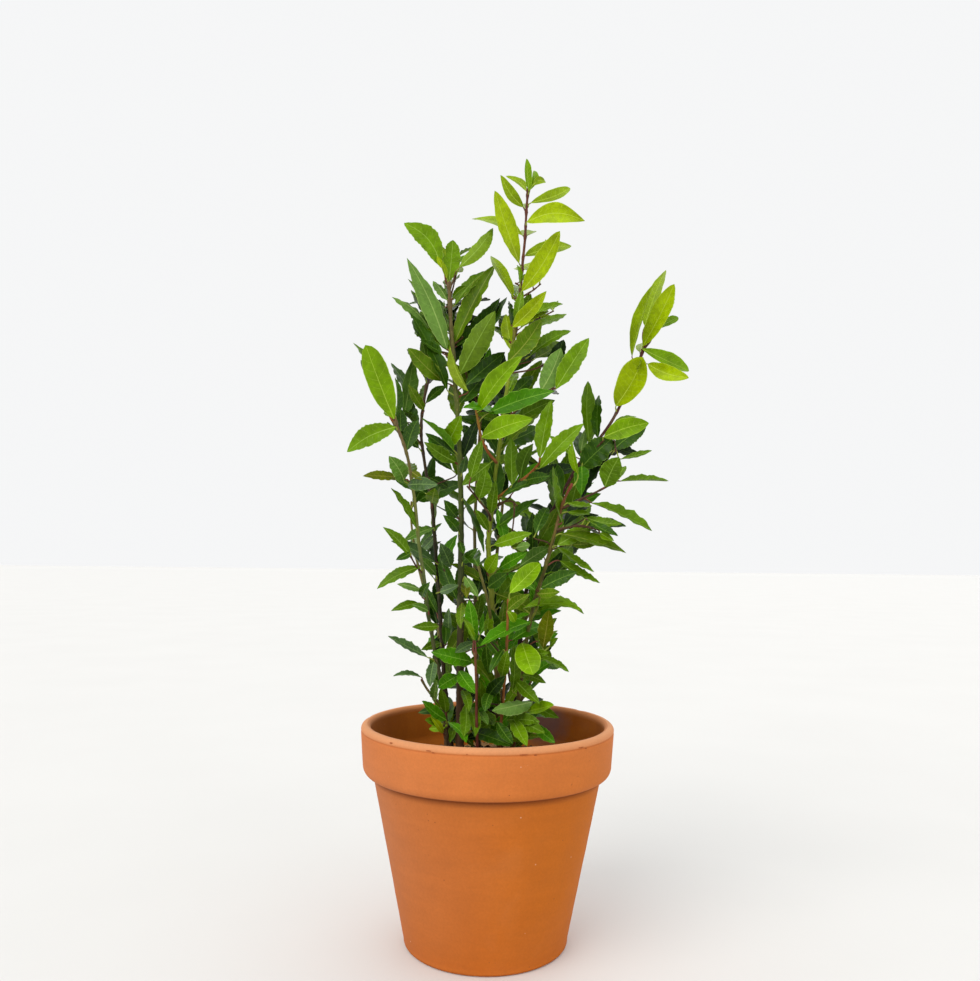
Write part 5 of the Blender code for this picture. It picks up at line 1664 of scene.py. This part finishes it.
for i in range(90):  # dry twiglets and straws
    r, a = 0.109 * math.sqrt(soil_rng.random()), soil_rng.uniform(0, math.tau)
    x, y, way = r * math.cos(a), r * math.sin(a), soil_rng.uniform(0, math.tau)
    length = soil_rng.uniform(0.010, 0.030)
    bend = soil_rng.uniform(-0.3, 0.3)
    pts = []
    for t in np.linspace(-0.5, 0.5, 5):
        px, py = x + math.cos(way + bend * t) * length * t, y + math.sin(way + bend * t) * length * t
        if math.hypot(px, py) > 0.1135:
            break
        pts.append((px, py, soil_z(px, py) + 0.0016 + soil_rng.uniform(0, 0.0012)))
    if len(pts) == 5:
        tube(g, pts, soil_rng.uniform(0.0004, 0.0009), 5, 2)


def soil_material(name, dark, light, roughness=0.95):
    n = Nodes(name, roughness)
    f = n.noise(300.0, 6.0, 0.7)
    v = n.noise(60.0, 3.0, 0.5)
    base = n.ramp(f, [(0.30, dark), (0.70, light)])
    base = n.mix(1.0, base, n.ramp(v, [(0.3, 0.75), (0.7, 1.15)]), "MULTIPLY")
    return n.done(base, None, n.bump(f, 0.7, 0.0015))


compost_piece = show("compost_crumbs", g.mesh("compost_crumbs"), [
    soil_material("compost_dark", srgb(44, 30, 22), srgb(78, 56, 40)),
    soil_material("compost_chip", srgb(84, 58, 36), srgb(130, 92, 58)),
    soil_material("litter_straw", srgb(150, 118, 72), srgb(196, 162, 108), 0.8),
    soil_material("compost_grit", srgb(150, 146, 138), srgb(214, 210, 200), 0.8),
], ("compost",))

# fallen dry leaves on the compost
dry_count = 0
litter = Gather()
LEAVES["litter"] = litter
VEINS["litter"] = srgb(168, 128, 78)
for x, y, way, length in ((-0.020, -0.052, 0.3, 0.048), (0.040, -0.050, 2.4, 0.052), (-0.070, 0.030, 1.2, 0.055), (0.062, 0.048, -0.8, 0.050),
                          (-0.006, 0.072, 2.9, 0.046), (0.085, -0.012, 1.8, 0.042), (-0.078, -0.036, -0.4, 0.044)):
    foot = np.array([x - math.cos(way) * length / 2, y - math.sin(way) * length / 2, 0.0])
    tip = np.array([x + math.cos(way) * length / 2, y + math.sin(way) * length / 2, 0.0])
    foot[2] = soil_z(foot[0], foot[1]) + 0.003
    tip[2] = soil_z(tip[0], tip[1]) + 0.004
    leaf(foot, tip, np.array([0.1, -0.1, 1.0]), length * 0.3, "litter", bow=0.05, fold=22, wave=1.8, twist=0.5)
show("leaf_litter", litter.mesh("leaf_litter"), [
    leaf_material("litter_upper", srgb(150, 108, 60), 0.6, 240.0), leaf_material("litter_under", srgb(168, 132, 86), 0.7, 240.0),
    leaf_material("litter_vein", srgb(180, 144, 96), 0.6, 240.0)])

# =============================================================================== stage
floor_mesh = bpy.data.meshes.new("floor")
bm = bmesh.new()
bmesh.ops.create_grid(bm, x_segments=8, y_segments=8, size=30.0)
bm.to_mesh(floor_mesh)
bm.free()
n = Nodes("floor_plain", 0.75)
tone = n.noise(3.0, 3.0, 0.5)
floor_mesh.materials.append(n.done(n.ramp(tone, [(0.3, (0.71, 0.705, 0.69)), (0.7, (0.725, 0.72, 0.705))])))
floor = bpy.data.objects.new("floor", floor_mesh)
bpy.context.scene.collection.objects.link(floor)

world = bpy.data.worlds.new("studio")
world.use_nodes = True
world.node_tree.nodes["Background"].inputs["Color"].default_value = (0.92, 0.925, 0.93, 1.0)
world.node_tree.nodes["Background"].inputs["Strength"].default_value = 1.0
bpy.context.scene.world = world


def soft_light(name, at, strength, spread, colour):
    """A large far-off lamp that shines from a direction, with soft shadows."""
    data = bpy.data.lights.new(name, "SUN")
    data.energy = strength
    data.angle = math.radians(spread)
    data.color = colour
    lamp = bpy.data.objects.new(name, data)
    lamp.location = at
    lamp.rotation_euler = (Vector((0.0, 0.0, 0.4)) - Vector(at)).to_track_quat("-Z", "Y").to_euler()
    bpy.context.scene.collection.objects.link(lamp)


soft_light("key", (-1.6, -1.9, 2.6), 1.35, 45.0, (1.0, 0.98, 0.94))
soft_light("fill", (2.2, -1.8, 1.2), 0.35, 60.0, (0.95, 0.98, 1.0))
soft_light("rim", (0.9, 2.2, 2.2), 0.40, 60.0, (1.0, 0.99, 0.96))

totals = {o.name: sum(len(f.vertices) - 2 for f in o.data.polygons) for o in bpy.data.objects if o.type == "MESH" and (o.name.startswith("leaves") or o.name.startswith("petiole") or o.name.startswith("twigs"))}
print("triangles", totals, sum(totals.values()))
